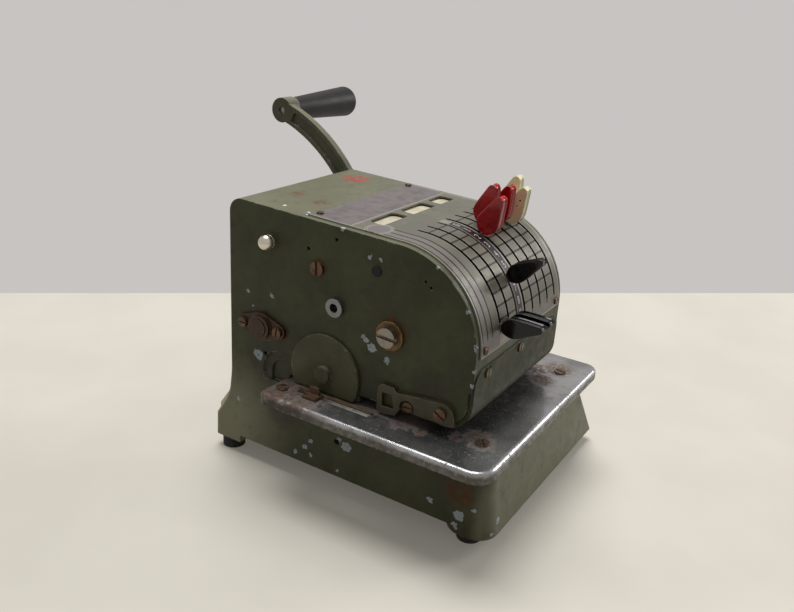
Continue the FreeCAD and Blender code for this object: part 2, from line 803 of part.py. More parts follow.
def rear_panel_screws():
    """Four screws at the rear panel's corners."""
    screws = [
        screw(f"rear_screw_{index}", (x, 1.2, z), "y", 2.6, 1.2, PLATE_SCREW_SHANK, 3.0, 30 + 55 * index)
        for index, (x, z) in enumerate(REAR_SCREWS)
    ]
    return node(gather("rear_screw_group", screws), "rear_panel_screws")


# ---------------------------------------------------------------- table and base fittings

# Radii of the table's corners: front left, front right, back right, back left.
TABLE_CORNERS = (11.0, 8.0, 5.0, 5.0)


def table_plate():
    """Pressed metal table with a turned-down rim, a platen slot and a gauge slot."""
    name = "table_plate_body"
    owner = body(name)
    width = size("table_width")
    depth = size("table_depth")
    outline = rounded(sketch_on(owner, "XY_Plane", name + "_outline"), 0, 0, width, depth, *TABLE_CORNERS)
    pad(owner, outline, "table_rim")
    doc.recompute()
    rim = size("table_rim")
    top_edges = [
        f"Edge{index}"
        for index, edge in enumerate(owner.Shape.Edges, start=1)
        if all(abs(vertex.Z - rim) < 0.01 for vertex in edge.Vertexes)
    ]
    sharp = owner.Tip
    soften = owner.newObject("PartDesign::Fillet", name + "_round")
    soften.Base = (sharp, top_edges)
    soften.setExpression("Radius", formula("table_round"))
    sheet_t = size("table_sheet")
    underside = sketch_on(owner, "XY_Plane", name + "_underside")
    inner_corners = [radius - sheet_t for radius in TABLE_CORNERS]
    rounded(underside, sheet_t, sheet_t, width - sheet_t, depth - sheet_t, *inner_corners)
    pocket(owner, underside, "table_rim - table_sheet", reverse=True)
    place(owner, "table_left", "table_front_y", "table_top - table_rim")
    openings = [
        box("rear_rim_relief", 129.2, 5, "table_rim - table_sheet", -0.6, "table_front_y + table_depth - 4",
            "table_top - table_rim"),
        box("column_notch", "head_width + 0.6", 10, 12, -0.3, "-column_depth - 1", "table_top - 8"),
        box("platen_slot", "platen_length + 1.2", "platen_width + 1.2", 12,
            "platen_left - 0.6", "drum_y - platen_width / 2 - 0.6", "table_top - 6"),
        box("gauge_slot", "gauge_slot_width", "gauge_slot_length", 12,
            "gauge_slot_x - gauge_slot_width / 2", "gauge_slot_back - gauge_slot_length",
            "table_top - 6"),
    ]
    for index, (x, y) in enumerate(TABLE_SCREWS):
        point = (x, y, size("table_top") + 1.0)
        openings.append(drill(f"table_hole_{index}", point, "z", TABLE_SCREW_RADIUS, 5))
    return node(cut("table_plate_solid", owner, *openings), "table_plate")


def table_screws():
    """Flat screws at the table's corners."""
    screws = [
        screw(f"table_screw_{index}", (x, y, size("table_top")), "z", 3.6, 0.9,
              TABLE_SCREW_RADIUS, 4.5, 35 + 40 * index)
        for index, (x, y) in enumerate(TABLE_SCREWS)
    ]
    return node(gather("table_screw_group", screws), "table_screws")


def guide_strip():
    """Thin strip beside the gauge slot."""
    strip = box("guide_strip_bar", 2.2, "gauge_slot_length + 2", 0.9,
                "gauge_slot_x + gauge_slot_width / 2 + 0.4", "gauge_slot_back - gauge_slot_length - 1",
                "table_top")
    return node(strip, "guide_strip")


def gauge_slide():
    """Paper gauge: a plate on the table, a stem through the slot and an upright tab."""
    top = "table_top + 0.35"
    pieces = [
        box("gauge_plate", 7.2, 9, 1.2, "gauge_slot_x - 5.6", "gauge_y - 4.5", top),
        box("gauge_tab", 1.4, 6.4, 5.4, "gauge_slot_x - 0.7", "gauge_y - 3.2", top),
        box("gauge_stem", 1.8, 5, 5, "gauge_slot_x - 0.9", "gauge_y - 2.5", "table_top - 4"),
        box("gauge_foot", 6, 7, 1.2, "gauge_slot_x - 3", "gauge_y - 3.5", "table_top - 4.4"),
    ]
    return node(fuse("gauge_slide_solid", *pieces), "gauge_slide")


def rubber_feet():
    feet = [
        cylinder(f"rubber_foot_{index}", "foot_radius", "foot_top - ground_z", x, y, "ground_z", "z")
        for index, (x, y, _, _) in enumerate(FEET)
    ]
    return node(gather("rubber_foot_group", feet), "rubber_feet")


# ---------------------------------------------------------------- fittings on the sides

def bearing_flanges():
    """Lozenge plates at both ends of the crank shaft, each with a round hub."""
    flanges = []
    thickness = 2.2
    hub = 4.2
    ear_radius = 4.4
    for side, x, along in (("left", 0, "-x"), ("right", "head_width", "x")):
        name = f"flange_{side}"
        owner = body(name)
        sketch = sketch_on(owner, "YZ_Plane", name + "_outline")
        hub_radius = 8.4
        waist = math.degrees(math.acos((hub_radius - ear_radius) / FLANGE_EARS))
        front = (-FLANGE_EARS, 0.0)
        rear = (FLANGE_EARS, 0.0)
        draw(
            sketch,
            arc_point((0, 0), hub_radius, waist),
            (arc_point((0, 0), hub_radius, 90), arc_point((0, 0), hub_radius, 180 - waist)),
            arc_point(front, ear_radius, 180 - waist),
            (arc_point(front, ear_radius, 180), arc_point(front, ear_radius, 180 + waist)),
            arc_point((0, 0), hub_radius, 180 + waist),
            (arc_point((0, 0), hub_radius, 270), arc_point((0, 0), hub_radius, -waist)),
            arc_point(rear, ear_radius, -waist),
            (arc_point(rear, ear_radius, 0), arc_point(rear, ear_radius, waist)),
        )
        pad(owner, sketch, thickness)
        shift = f"-{thickness}" if side == "left" else "head_width"
        place(owner, shift, "crank_y", "crank_z")
        ring = cylinder(name + "_hub", 7.2, hub, x, "crank_y", "crank_z", along)
        ring_bore = cylinder(name + "_bore", "crank_radius + running_fit", 20,
                             "-10" if side == "left" else "head_width - 10", "crank_y", "crank_z")
        sleeve = cylinder(name + "_sleeve", "crank_radius + 2", "wall",
                          0 if side == "left" else "head_width - wall", "crank_y", "crank_z")
        faces = "-x" if side == "left" else "x"
        surface = -thickness if side == "left" else RIGHT + thickness
        holes = [
            drill(f"{name}_ear_{ear}", (surface, size("crank_y") + sign * FLANGE_EARS, size("crank_z")),
                  faces, EAR_SCREW_RADIUS, thickness)
            for ear, sign in (("front", -1), ("back", 1))
        ]
        blank = fuse(name + "_blank", owner, ring, sleeve)
        flanges.append(cut(name + "_solid", blank, ring_bore, *holes))
    return node(gather("bearing_flange_group", flanges), "bearing_flanges")


def flange_screws():
    screws = []
    for side, x, faces in (("left", LEFT - 2.2, "-x"), ("right", RIGHT + 2.2, "x")):
        for sign in (-1, 1):
            point = (x, size("crank_y") + sign * FLANGE_EARS, size("crank_z"))
            name = f"flange_screw_{side}_{'front' if sign < 0 else 'back'}"
            screws.append(screw(name, point, faces, 2.9, 1.5, EAR_SCREW_RADIUS, 6.5, 40 + 50 * sign))
    return node(gather("flange_screw_group", screws), "flange_screws")


def lever_shaft():
    """The shaft that all digit levers turn on, tapped at both ends."""
    bar = cylinder("lever_shaft_bar", "shaft_radius", "head_width", 0, "drum_y", "drum_z")
    taps = [
        drill("shaft_tap_left", (LEFT, size("drum_y"), size("drum_z")), "-x", 2.5, 9),
        drill("shaft_tap_right", (RIGHT, size("drum_y"), size("drum_z")), "x", 2.5, 9),
    ]
    return node(cut("lever_shaft_solid", bar, *taps), "lever_shaft")


def shaft_washers():
    washers = []
    for side, x in (("left", -1.8), ("right", "head_width")):
        disc = cylinder(f"washer_{side}_disc", 7.9, 1.8, x, "drum_y", "drum_z")
        hole = cylinder(f"washer_{side}_hole", 2.5, 4, f"{x} - 1", "drum_y", "drum_z")
        washers.append(cut(f"washer_{side}", disc, hole))
    return node(gather("shaft_washer_group", washers), "shaft_washers")


def shaft_screws():
    """Large slotted screws over the washers at the lever shaft's ends."""
    screws = [
        screw("shaft_screw_left", (LEFT - 1.8, size("drum_y"), size("drum_z")), "-x", 5.4, 3.6, 2.5, 10, 86),
        screw("shaft_screw_right", (RIGHT + 1.8, size("drum_y"), size("drum_z")), "x", 5.4, 3.6, 2.5, 10, 75),
    ]
    return node(gather("shaft_screw_group", screws), "shaft_screws")


def tie_rod():
    """Rod across the column's top, with a dome nut at each end."""
    rod = cylinder("tie_rod_bar", 3, "head_width", 0, "tie_y", "tie_z")
    return node(rod, "tie_rod")


def tie_nuts():
    """A dome nut at the tie rod's left end and a thin hexagon nut behind the crank's arm."""
    collar = cylinder("dome_collar", 4.2, 1.6, 0, "tie_y", "tie_z", "-x")
    neck = cylinder("dome_neck", 3.2, 3.1, 0, "tie_y", "tie_z", "-x")
    ball = bind(doc.addObject("Part::Sphere", "dome_ball"), Radius=4.6)
    ball.Angle1 = 0
    place(ball, -3, "tie_y", "tie_z", *AXIS_TURNS["-x"])
    hexagon = doc.addObject("Part::Prism", "thin_nut")
    hexagon.Polygon = 6
    bind(hexagon, Circumradius=5.2, Height=3.2)
    place(hexagon, "head_width", "tie_y", "tie_z", *AXIS_TURNS["x"])
    return node(gather("tie_nut_group", [fuse("dome_nut", collar, neck, ball), hexagon]), "tie_nuts")


def side_screws():
    screws = []
    for side, x, faces in (("left", LEFT, "-x"), ("right", RIGHT, "x")):
        point = (x, size("side_screw_y"), size("side_screw_z"))
        screws.append(screw(f"side_screw_{side}", point, faces, 4.0, 1.8, SIDE_SCREW_SHANK, 5.5, 2))
    return node(gather("side_screw_group", screws), "side_screws")


def ring_bushes():
    """Open bushes pressed into both side walls."""
    bushes = []
    for side, x, along in (("left", 0, "-x"), ("right", "head_width", "x")):
        collar = cylinder(f"bush_{side}_collar", 5.2, 2.4, x, "bush_y", "bush_z", along)
        shift = 0 if side == "left" else "head_width - wall"
        sleeve = cylinder(f"bush_{side}_sleeve", 3.6, "wall", shift, "bush_y", "bush_z")
        start = -5 if side == "left" else "head_width - wall - 1"
        bore = cylinder(f"bush_{side}_bore", 2.5, "wall + 6", start, "bush_y", "bush_z")
        bushes.append(cut(f"ring_bush_{side}", fuse(f"bush_{side}_blank", collar, sleeve), bore))
    return node(gather("ring_bush_group", bushes), "ring_bushes")


def hole_plug():
    plug = fuse(
        "hole_plug_solid",
        cylinder("hole_plug_stem", 2.3, "wall - 0.5", 0, "plug_y", "plug_z"),
        cylinder("hole_plug_head", 2.8, 0.6, -0.6, "plug_y", "plug_z"),
    )
    return node(plug, "hole_plug")


STRAP_SHEET = 2.4


def guide_bracket():
    """Strap along the head's lower left edge, with a round notch and a small square loop at its end."""
    owner = body("guide_bracket_body")
    sketch = sketch_on(owner, "YZ_Plane", "guide_bracket_outline")
    draw(
        sketch,
        (-103.7, 67.6),
        (-103.7, 80.6),
        (-106.6, 82.9),
        (-113.6, 82.6),
        (-115.4, 80.4),
        (-130.0, 82.0),
        (-143.6, 83.0),
        ((-147.6, 80.4), (-149.6, 74.2)),
        (-149.4, 72.0),
        (-126.0, 71.8),
        ((-121.9, 77.9), (-117.8, 71.8)),
        (-116.6, 70.0),
        (-115.2, 67.0),
        (-107.6, 65.9),
        (-105.0, 66.2),
    )
    draw(sketch, (-106.6, 70.0), (-106.6, 78.2), (-112.6, 78.4), (-114.4, 70.6))
    pad(owner, sketch, STRAP_SHEET)
    place(owner, -STRAP_SHEET)
    y, z = BRACKET_SCREWS[0]
    hole = drill("bracket_hole", (-STRAP_SHEET, y, z), "-x", BRACKET_SHANK, STRAP_SHEET)
    return node(cut("guide_bracket_solid", owner, hole), "guide_bracket")


def bracket_screws():
    strap_screw, wall_screw = BRACKET_SCREWS
    screws = [
        screw("strap_screw", (-STRAP_SHEET, *strap_screw), "-x", 3.5, 1.6, BRACKET_SHANK, 7, 60),
        screw("notch_screw", (LEFT, *wall_screw), "-x", 2.8, 1.6, BRACKET_SHANK, 5.5, 95),
    ]
    return node(gather("bracket_screw_group", screws), "bracket_screws")


def ink_cover():
    """Round cover over the ink roller's opening, cut flat above the table."""
    flat = size("mouth_back_bottom") - 0.6
    disc = cylinder("ink_cover_disc", "ink_cover_radius", 1.8, -1.8, "ink_y", "ink_z")
    lip = cylinder("ink_cover_lip", 13, 3, 0, "ink_y", "ink_z")
    boss = cylinder("ink_cover_boss", 4.8, 3.4, -4.6, "ink_y", "ink_z")
    below = box("ink_cover_flat", 30, 60, 40, -10, "ink_y - 30", flat - 40)
    bore = cylinder("ink_cover_bore", "ink_spindle_radius", 6, -1.2, "ink_y", "ink_z")
    lip_bore = cylinder("ink_lip_bore", 11.5, 4, 0.001, "ink_y", "ink_z")
    blank = fuse("ink_cover_blank", disc, cut("ink_lip_ring", lip, lip_bore), boss)
    return node(cut("ink_cover_solid", blank, below, bore), "ink_cover")


def ink_spindle():
    spindle = cylinder("ink_spindle_bar", "ink_spindle_radius", "head_width + 1.2", -1.2, "ink_y", "ink_z")
    return node(spindle, "ink_spindle")


def ink_roller():
    """Felt roller that inks the type."""
    roll = cylinder("ink_roller_felt", "ink_radius", "head_width - 2 * wall - 6", "wall + 3", "ink_y", "ink_z")
    bore = cylinder("ink_roller_bore", "ink_spindle_radius + running_fit", "head_width", "wall", "ink_y", "ink_z")
    return node(cut("ink_roller_solid", roll, bore), "ink_roller")


# ---------------------------------------------------------------- digit levers

# The angle each lever rests at, left to right, counted from straight ahead.
LEVER_REST = [11.7, 11.7, 35.3, 66.6, 74.5, 70.6, 66.6, 74.5]
# Where the detent comb's fingers meet the hub discs, as a drum angle.
COMB_ANGLE = 148.3


def lever_x(index):
    return f"slot_first + {index} * slot_pitch"


def place_lever(piece, index):
    """Turns a piece drawn for an upright lever to the lever's rest angle."""
    return place(piece, lever_x(index), "drum_y", "drum_z", X_AXIS, 90 - LEVER_REST[index])


def sector_point(angle, radius):
    """The (y, z) of a point on an upright lever, at a drum angle about the shaft."""
    turn = math.radians(angle)
    return (-radius * math.cos(turn), radius * math.sin(turn))


def digit_lever(index):
    """Steel lever: a notched hub disc, a spoke through the drum and a type sector below."""
    name = f"digit_lever_{index + 1}_body"
    owner = body(name)
    hub = draw_circle(sketch_on(owner, "YZ_Plane", name + "_hub"), 0, 0, "hub_radius")
    pad(owner, hub, "lever_sheet", midplane=True)
    half = size("spoke_width") / 2
    spoke = sketch_on(owner, "YZ_Plane", name + "_spoke")
    draw(spoke, (-half, 0.0), (-half, size("spoke_length")), (half, size("spoke_length")), (half, 0.0))
    pad(owner, spoke, "lever_sheet", midplane=True)
    first_type = -size("row_zero_angle")
    last_type = first_type + size("row_angle") * (size("row_count") - 1)
    low = first_type - 4.5
    high = last_type + 4.5
    rim = size("sector_radius")
    sector = sketch_on(owner, "YZ_Plane", name + "_sector")
    draw(
        sector,
        (0.0, 0.0),
        sector_point(low, rim),
        (sector_point((low + high) / 2, rim), sector_point(high, rim)),
    )
    pad(owner, sector, "lever_sheet", midplane=True)
    block = sketch_on(owner, "YZ_Plane", name + "_type")
    face = size("type_radius")
    half_type = 2.3
    draw(
        block,
        sector_point(first_type - half_type, rim - 1.5),
        sector_point(first_type - half_type, face),
        (sector_point(first_type, face), sector_point(first_type + half_type, face)),
        sector_point(first_type + half_type, rim - 1.5),
    )
    type_pad = pad(owner, block, "type_width", midplane=True)
    spread = size("row_angle") * (size("row_count") - 1)
    x_axis = next(f for f in owner.Origin.OriginFeatures if f.Role == "X_Axis")
    types = owner.newObject("PartDesign::PolarPattern", name + "_types")
    types.Originals = [type_pad]
    types.Axis = (x_axis, [""])
    types.Reversed = True
    types.Angle = spread
    types.Occurrences = int(size("row_count"))
    owner.Tip = types
    bore = draw_circle(sketch_on(owner, "YZ_Plane", name + "_bore"), 0, 0, "shaft_radius + running_fit")
    pocket(owner, bore, "lever_sheet + 2", midplane=True)
    notch_angle = COMB_ANGLE + 90 - size("row_zero_angle")
    notch = sketch_on(owner, "YZ_Plane", name + "_notch")
    draw_circle(notch, *sector_point(notch_angle, size("hub_radius")), "notch_radius")
    first_notch = pocket(owner, notch, "lever_sheet + 2", midplane=True)
    notches = owner.newObject("PartDesign::PolarPattern", name + "_notches")
    notches.Originals = [first_notch]
    notches.Axis = (x_axis, [""])
    notches.Reversed = True
    notches.Angle = spread
    notches.Occurrences = int(size("row_count"))
    owner.Tip = notches
    place_lever(owner, index)
    return node(owner, f"digit_lever_{index + 1}")


def lever_knob(index):
    """Moulded finger piece: narrow at its foot, widest low down, with a rounded tip."""
    name = f"lever_knob_{index + 1}_body"
    owner = body(name)
    base = size("knob_base")
    tip = size("knob_tip")
    outline = sketch_on(owner, "YZ_Plane", name + "_outline")
    draw(
        outline,
        (2.4, base),
        ((5.5, base + 2.9), (6.6, base + 6.6)),
        ((4.6, base + 15.0), (1.8, tip - 0.9)),
        ((0.0, tip), (-1.8, tip - 0.9)),
        ((-4.6, base + 15.0), (-6.6, base + 6.6)),
        ((-5.5, base + 2.9), (-2.4, base)),
    )
    pad(owner, outline, "knob_thickness", midplane=True)
    socket = sketch_on(owner, "YZ_Plane", name + "_socket")
    half = size("spoke_width") / 2 + 0.02
    top = size("spoke_length") + 0.02
    draw(socket, (-half, base - 1), (-half, top), (half, top), (half, base - 1))
    pocket(owner, socket, "lever_sheet + 0.04", midplane=True)
    place_lever(owner, index)
    return node(owner, f"lever_knob_{index + 1}")


def lever_spacers():
    """Collars on the shaft between the levers and the walls."""
    gap = 0.15
    half = size("lever_sheet") / 2 + gap
    pitch = size("slot_pitch")
    first = size("slot_first")
    count = int(size("slot_count"))
    starts = [size("wall")] + [first + pitch * index + half for index in range(count)]
    ends = [first + pitch * index - half for index in range(count)] + [RIGHT - size("wall")]
    collars = []
    for index, (start, end) in enumerate(zip(starts, ends)):
        tube = cylinder(f"spacer_{index}_tube", 8, end - start, start, "drum_y", "drum_z")
        bore = cylinder(f"spacer_{index}_bore", "shaft_radius", end - start + 2, start - 1, "drum_y", "drum_z")
        collars.append(cut(f"spacer_{index}", tube, bore))
    return node(gather("lever_spacer_group", collars), "lever_spacers")


def detent_comb():
    """Spring comb under the tie bar: one finger rests just clear of each hub disc."""
    name = "detent_comb_body"
    owner = body(name)
    tip = (size("drum_y") + 14.4, size("drum_z") + 8.9)
    top = 140.0
    low = 139.3
    finger = sketch_on(owner, "YZ_Plane", name + "_finger")
    draw(
        finger,
        (-52.4, top),
        (-60.0, top),
        tip,
        (tip[0] + 0.5, tip[1] - 0.5),
        (-59.8, low),
        (-52.4, low),
    )
    width = 4.0
    first = pad(owner, finger, width)
    fingers = owner.newObject("PartDesign::LinearPattern", name + "_fingers")
    fingers.Originals = [first]
    fingers.Direction = (next(f for f in owner.Origin.OriginFeatures if f.Role == "X_Axis"), [""])
    fingers.setExpression("Length", formula("slot_pitch * (slot_count - 1)"))
    fingers.Occurrences = int(size("slot_count"))
    owner.Tip = fingers
    strip = sketch_on(owner, "YZ_Plane", name + "_strip")
    draw(strip, (-52.4, top), (-59.5, top), (-59.5, low), (-52.4, low))
    pad(owner, strip, f"slot_pitch * (slot_count - 1) + {width}")
    place(owner, "slot_first - 2")
    return node(owner, "detent_comb")


# ---------------------------------------------------------------- crank

def crank_shaft():
    bar = cylinder("crank_shaft_bar", "crank_radius", "arm_left + arm_hub_length + 4.6", -4.6,
                   "crank_y", "crank_z")
    tap = drill("crank_tap", (size("arm_left") + size("arm_hub_length"), size("crank_y"), size("crank_z")),
                "x", 2.5, 10)
    return node(cut("crank_shaft_solid", bar, tap), "crank_shaft")


def arm_outline(sketch, width, start_angle, end_angle):
    """A band along the arm's curve between two angles."""
    centre = (size("arm_curve_y"), size("arm_curve_z"))
    inner = size("arm_curve_radius") - width / 2
    outer = size("arm_curve_radius") + width / 2
    middle = (start_angle + end_angle) / 2
    return draw(
        sketch,
        arc_point(centre, outer, start_angle),
        (arc_point(centre, outer, middle), arc_point(centre, outer, end_angle)),
        arc_point(centre, inner, end_angle),
        (arc_point(centre, inner, middle), arc_point(centre, inner, start_angle)),
    )


def crank_arm():
    """Curved cast arm with a grooved face, a hub at its root and a boss at its end."""
    name = "crank_arm_body"
    owner = body(name)
    top_angle = math.degrees(math.atan2(size("grip_pin_z") - size("arm_curve_z"),
                                        size("grip_pin_y") - size("arm_curve_y")))
    root_angle = 178.0
    band = arm_outline(sketch_on(owner, "YZ_Plane", name + "_band"), size("arm_width"), top_angle, root_angle)
    pad(owner, band, "arm_thickness")
    root = draw_circle(sketch_on(owner, "YZ_Plane", name + "_hub"), size("crank_y"), size("crank_z"),
                       "arm_hub_radius")
    pad(owner, root, "arm_hub_length")
    boss = draw_circle(sketch_on(owner, "YZ_Plane", name + "_boss"), size("grip_pin_y"), size("grip_pin_z"),
                       "boss_radius")
    pad(owner, boss, "arm_boss_length")
    groove_width = size("arm_width") - 2 * size("arm_rib")
    for side, height in (("left", 0), ("right", "arm_thickness - arm_groove")):
        groove = sketch_on(owner, "YZ_Plane", f"{name}_groove_{side}", height)
        arm_outline(groove, groove_width, top_angle + 5.5, root_angle - 4)
        pocket(owner, groove, "arm_groove", reverse=True)
    place(owner, "arm_left")
    holes = [
        cylinder("arm_shaft_bore", "crank_radius", 30, "arm_left - 5", "crank_y", "crank_z"),
        cylinder("arm_pin_bore", "grip_pin_radius", 30, "arm_left - 5", "grip_pin_y", "grip_pin_z"),
    ]
    return node(cut("crank_arm_solid", owner, *holes), "crank_arm")


def crank_screw():
    face = size("arm_left") + size("arm_hub_length")
    piece = screw("crank_screw_solid", (face, size("crank_y"), size("crank_z")), "x", 7.0, 2.6, 2.5, 9, 15)
    return node(piece, "crank_screw")


def grip_pin():
    bar = cylinder("grip_pin_bar", "grip_pin_radius", "grip_start + grip_length - arm_left - 5.8",
                   "arm_left + 1.4", "grip_pin_y", "grip_pin_z")
    return node(bar, "grip_pin")


def crank_grip():
    """Tapered barrel that turns on the pin, thicker at its free end."""
    owner = body("crank_grip_body")
    sketch = sketch_on(owner, "XZ_Plane", "crank_grip_outline")
    near = size("grip_radius_near")
    far = size("grip_radius_far")
    length = size("grip_length")
    bore = size("grip_pin_radius") + size("running_fit")
    rounding = 5.0
    bore_end = length - 3.4
    draw(
        sketch,
        (0.0, bore),
        (0.0, near - 1.0),
        ((0.3, near - 0.3), (1.0, near)),
        (length - rounding, far),
        ((length - 1.3, far - 1.6), (length, far - rounding)),
        (length, 0.0),
        (bore_end, 0.0),
        (bore_end, bore),
    )
    turned = owner.newObject("PartDesign::Revolution", "crank_grip_turned")
    turned.Profile = sketch
    turned.ReferenceAxis = (next(f for f in owner.Origin.OriginFeatures if f.Role == "X_Axis"), [""])
    turned.Angle = 360
    owner.Tip = turned
    place(owner, "grip_start", "grip_pin_y", "grip_pin_z")
    return node(owner, "crank_grip")


def lift_cam():
    """Eccentric disc on the crank shaft."""
    turn = math.radians(size("cam_rest_angle"))
    offset_y = size("cam_throw") * math.cos(turn)
    offset_z = size("cam_throw") * math.sin(turn)
    disc = cylinder("lift_cam_disc", "cam_radius", "cam_width", "cam_left",
                    f"crank_y + {offset_y:.4f}", f"crank_z + {offset_z:.4f}")
    bore = cylinder("lift_cam_bore", "crank_radius", "cam_width + 2", "cam_left - 1", "crank_y", "crank_z")
    return node(cut("lift_cam_solid", disc, bore), "lift_cam")


def return_spring():
    """Torsion spring round the crank shaft that brings the arm back."""
    wire = 0.9
    helix = doc.addObject("Part::Helix", "return_spring_path")
    helix.Pitch = 2.9
    helix.Height = 23.2
    helix.Radius = 8.6
    ring = doc.addObject("Part::Circle", "return_spring_wire")
    ring.Radius = wire
    ring.Placement = FreeCAD.Placement(Vector(8.6, 0, 0), FreeCAD.Rotation(X_AXIS, 90))
    coil = doc.addObject("Part::Sweep", "return_spring_coil")
    coil.Sections = [ring]
    coil.Spine = (helix, ["Edge1"])
    coil.Solid = True
    coil.Frenet = True
    place(coil, 66, "crank_y", "crank_z", *AXIS_TURNS["x"])
    return node(coil, "return_spring")


# ---------------------------------------------------------------- rocker and platen

def rocker_shaft():
    bar = cylinder("rocker_shaft_bar", "rocker_shaft_radius", 34, 36, "rocker_y", "rocker_z")
    return node(bar, "rocker_shaft")


def platen_rocker():
    """Bent lever under the deck: its tail stands in the column, its nose lifts the platen."""
    owner = body("platen_rocker_body")
    sketch = sketch_on(owner, "YZ_Plane", "platen_rocker_outline")
    nose = (size("drum_y"), size("platen_bottom") - 0.2 - 4.0)
    pivot = (size("rocker_y"), size("rocker_z"))
    tail = (size("follower_y"), size("follower_z"))
    draw(
        sketch,
        (nose[0], nose[1] + 4.0),
        (pivot[0] - 8.0, pivot[1] + 7.0),
        (tail[0] - 3.6, pivot[1] + 7.0),
        (tail[0] - 3.6, tail[1]),
        ((tail[0], tail[1] + 3.6), (tail[0] + 3.6, tail[1])),
        (tail[0] + 3.6, pivot[1] - 7.0),
        (pivot[0] - 8.0, pivot[1] - 7.0),
        (nose[0], nose[1] - 4.0),
        ((nose[0] - 4.0, nose[1]), (nose[0], nose[1] + 4.0)),
    )
    pad(owner, sketch, 14)
    fork = draw_circle(sketch_on(owner, "YZ_Plane", "rocker_fork", 2.0), *tail, 7.0)
    pocket(owner, fork, 10, reverse=True)
    place(owner, 46)
    pin = cylinder("follower_pin", 2, 14, 46, "follower_y", "follower_z")
    bore = cylinder("rocker_pivot_bore", "rocker_shaft_radius + running_fit", 20, 43, "rocker_y", "rocker_z")
    return node(cut("platen_rocker_solid", fuse("platen_rocker_blank", owner, pin), bore), "platen_rocker")


def follower_roller():
    wheel = cylinder("follower_wheel", "follower_radius", 9.4, 48.3, "follower_y", "follower_z")
    bore = cylinder("follower_bore", "2 + running_fit", 12, 47, "follower_y", "follower_z")
    return node(cut("follower_roller_solid", wheel, bore), "follower_roller")


def platen_bar():
    """Steel bar that presses the paper against the type."""
    bar = box("platen_blade", "platen_length", "platen_width", "platen_top - platen_bottom",
              "platen_left", "drum_y - platen_width / 2", "platen_bottom")
    return node(bar, "platen_bar")


# ---------------------------------------------------------------- all sub-parts

def build():
    main_casting()
    rear_panel()
    rear_panel_screws()
    scale_plate()
    scale_plate_screws()
    window_card()
    front_cover()
    front_cover_screws()
    table_plate()
    table_screws()
    guide_strip()
    gauge_slide()
    rubber_feet()
    bearing_flanges()
    flange_screws()
    lever_shaft()
    shaft_washers()
    shaft_screws()
    tie_rod()
    tie_nuts()
    side_screws()
    ring_bushes()
    hole_plug()
    guide_bracket()
    bracket_screws()
    ink_cover()
    ink_spindle()
    ink_roller()
    for index in range(int(size("slot_count"))):
        digit_lever(index)
        lever_knob(index)
    lever_spacers()
    detent_comb()
    crank_shaft()
    crank_arm()
    crank_screw()
    grip_pin()
    crank_grip()
    lift_cam()
    return_spring()
    rocker_shaft()
    platen_rocker()
    follower_roller()
    platen_bar()


def write_parts():
    """Checks every object and every sub-part, then writes one STEP file for each sub-part."""
    doc.recompute()
    failed = [item.Name for item in doc.Objects if "Invalid" in item.State or "Error" in item.State]
    if failed:
        raise RuntimeError(f"failed objects: {failed}")
    for piece in NODES:
        if piece.Shape.isNull() or not piece.Shape.isValid():
            raise RuntimeError(f"{piece.Label} has no valid shape")
    os.makedirs("parts", exist_ok=True)
    for piece in NODES:
        piece.Shape.exportStep(f"parts/{piece.Label}.step")
        solids = len(piece.Shape.Solids)
        print(f"{piece.Label}: {solids} solid(s), {piece.Shape.Volume / 1000:.2f} cm3")


build()
write_parts()
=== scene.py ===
import math

import bmesh
import bpy
from mathutils import Matrix, Vector


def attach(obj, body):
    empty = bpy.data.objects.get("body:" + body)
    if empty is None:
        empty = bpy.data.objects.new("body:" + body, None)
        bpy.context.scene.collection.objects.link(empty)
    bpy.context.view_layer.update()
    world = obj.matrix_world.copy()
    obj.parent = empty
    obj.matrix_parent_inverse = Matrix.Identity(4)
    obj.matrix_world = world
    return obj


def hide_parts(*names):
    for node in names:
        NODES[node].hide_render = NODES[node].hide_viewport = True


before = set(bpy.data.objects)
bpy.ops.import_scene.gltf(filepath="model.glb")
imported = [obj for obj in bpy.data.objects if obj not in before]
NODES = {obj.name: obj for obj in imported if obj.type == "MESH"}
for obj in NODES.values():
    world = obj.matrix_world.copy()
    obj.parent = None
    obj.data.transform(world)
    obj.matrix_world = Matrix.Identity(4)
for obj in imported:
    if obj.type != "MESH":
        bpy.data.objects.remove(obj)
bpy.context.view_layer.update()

# The head's left face, its back face and the zero level of the sizes in the part's frame, mm.
HEAD_CORNER = Vector((-83.0, 57.0, -1.6))
# The slotted drum: centre, outer radius of its plate, slots and digit rows (CAD sizes).
DRUM_Y = -108.4
DRUM_Z = 110.1
PLATE_RADIUS = 49.4
FIRST_SLOT = 24.8
SLOT_PITCH = 10.0
SLOT_COUNT = 8
ROW_ANGLE = 7.8446
ZERO_ROW_ANGLE = 82.3
# How far each lever at rest stands up from level, degrees.
LEVER_REST = [11.7, 11.7, 35.3, 66.6, 74.5, 70.6, 66.6, 74.5]


def metres(x, y, z):
    """A point given in mm from the head's corner, as a place in the part's frame."""
    return (Vector((x, y, z)) + HEAD_CORNER) / 1000


def paint(red, green, blue):
    """An sRGB colour from 0 to 255 as the linear colour that the shader takes."""
    linear = []
    for part in (red, green, blue):
        share = part / 255
        linear.append(share / 12.92 if share <= 0.04045 else ((share + 0.055) / 1.055) ** 2.4)
    return (*linear, 1.0)


# ---------------------------------------------------------------- finishes

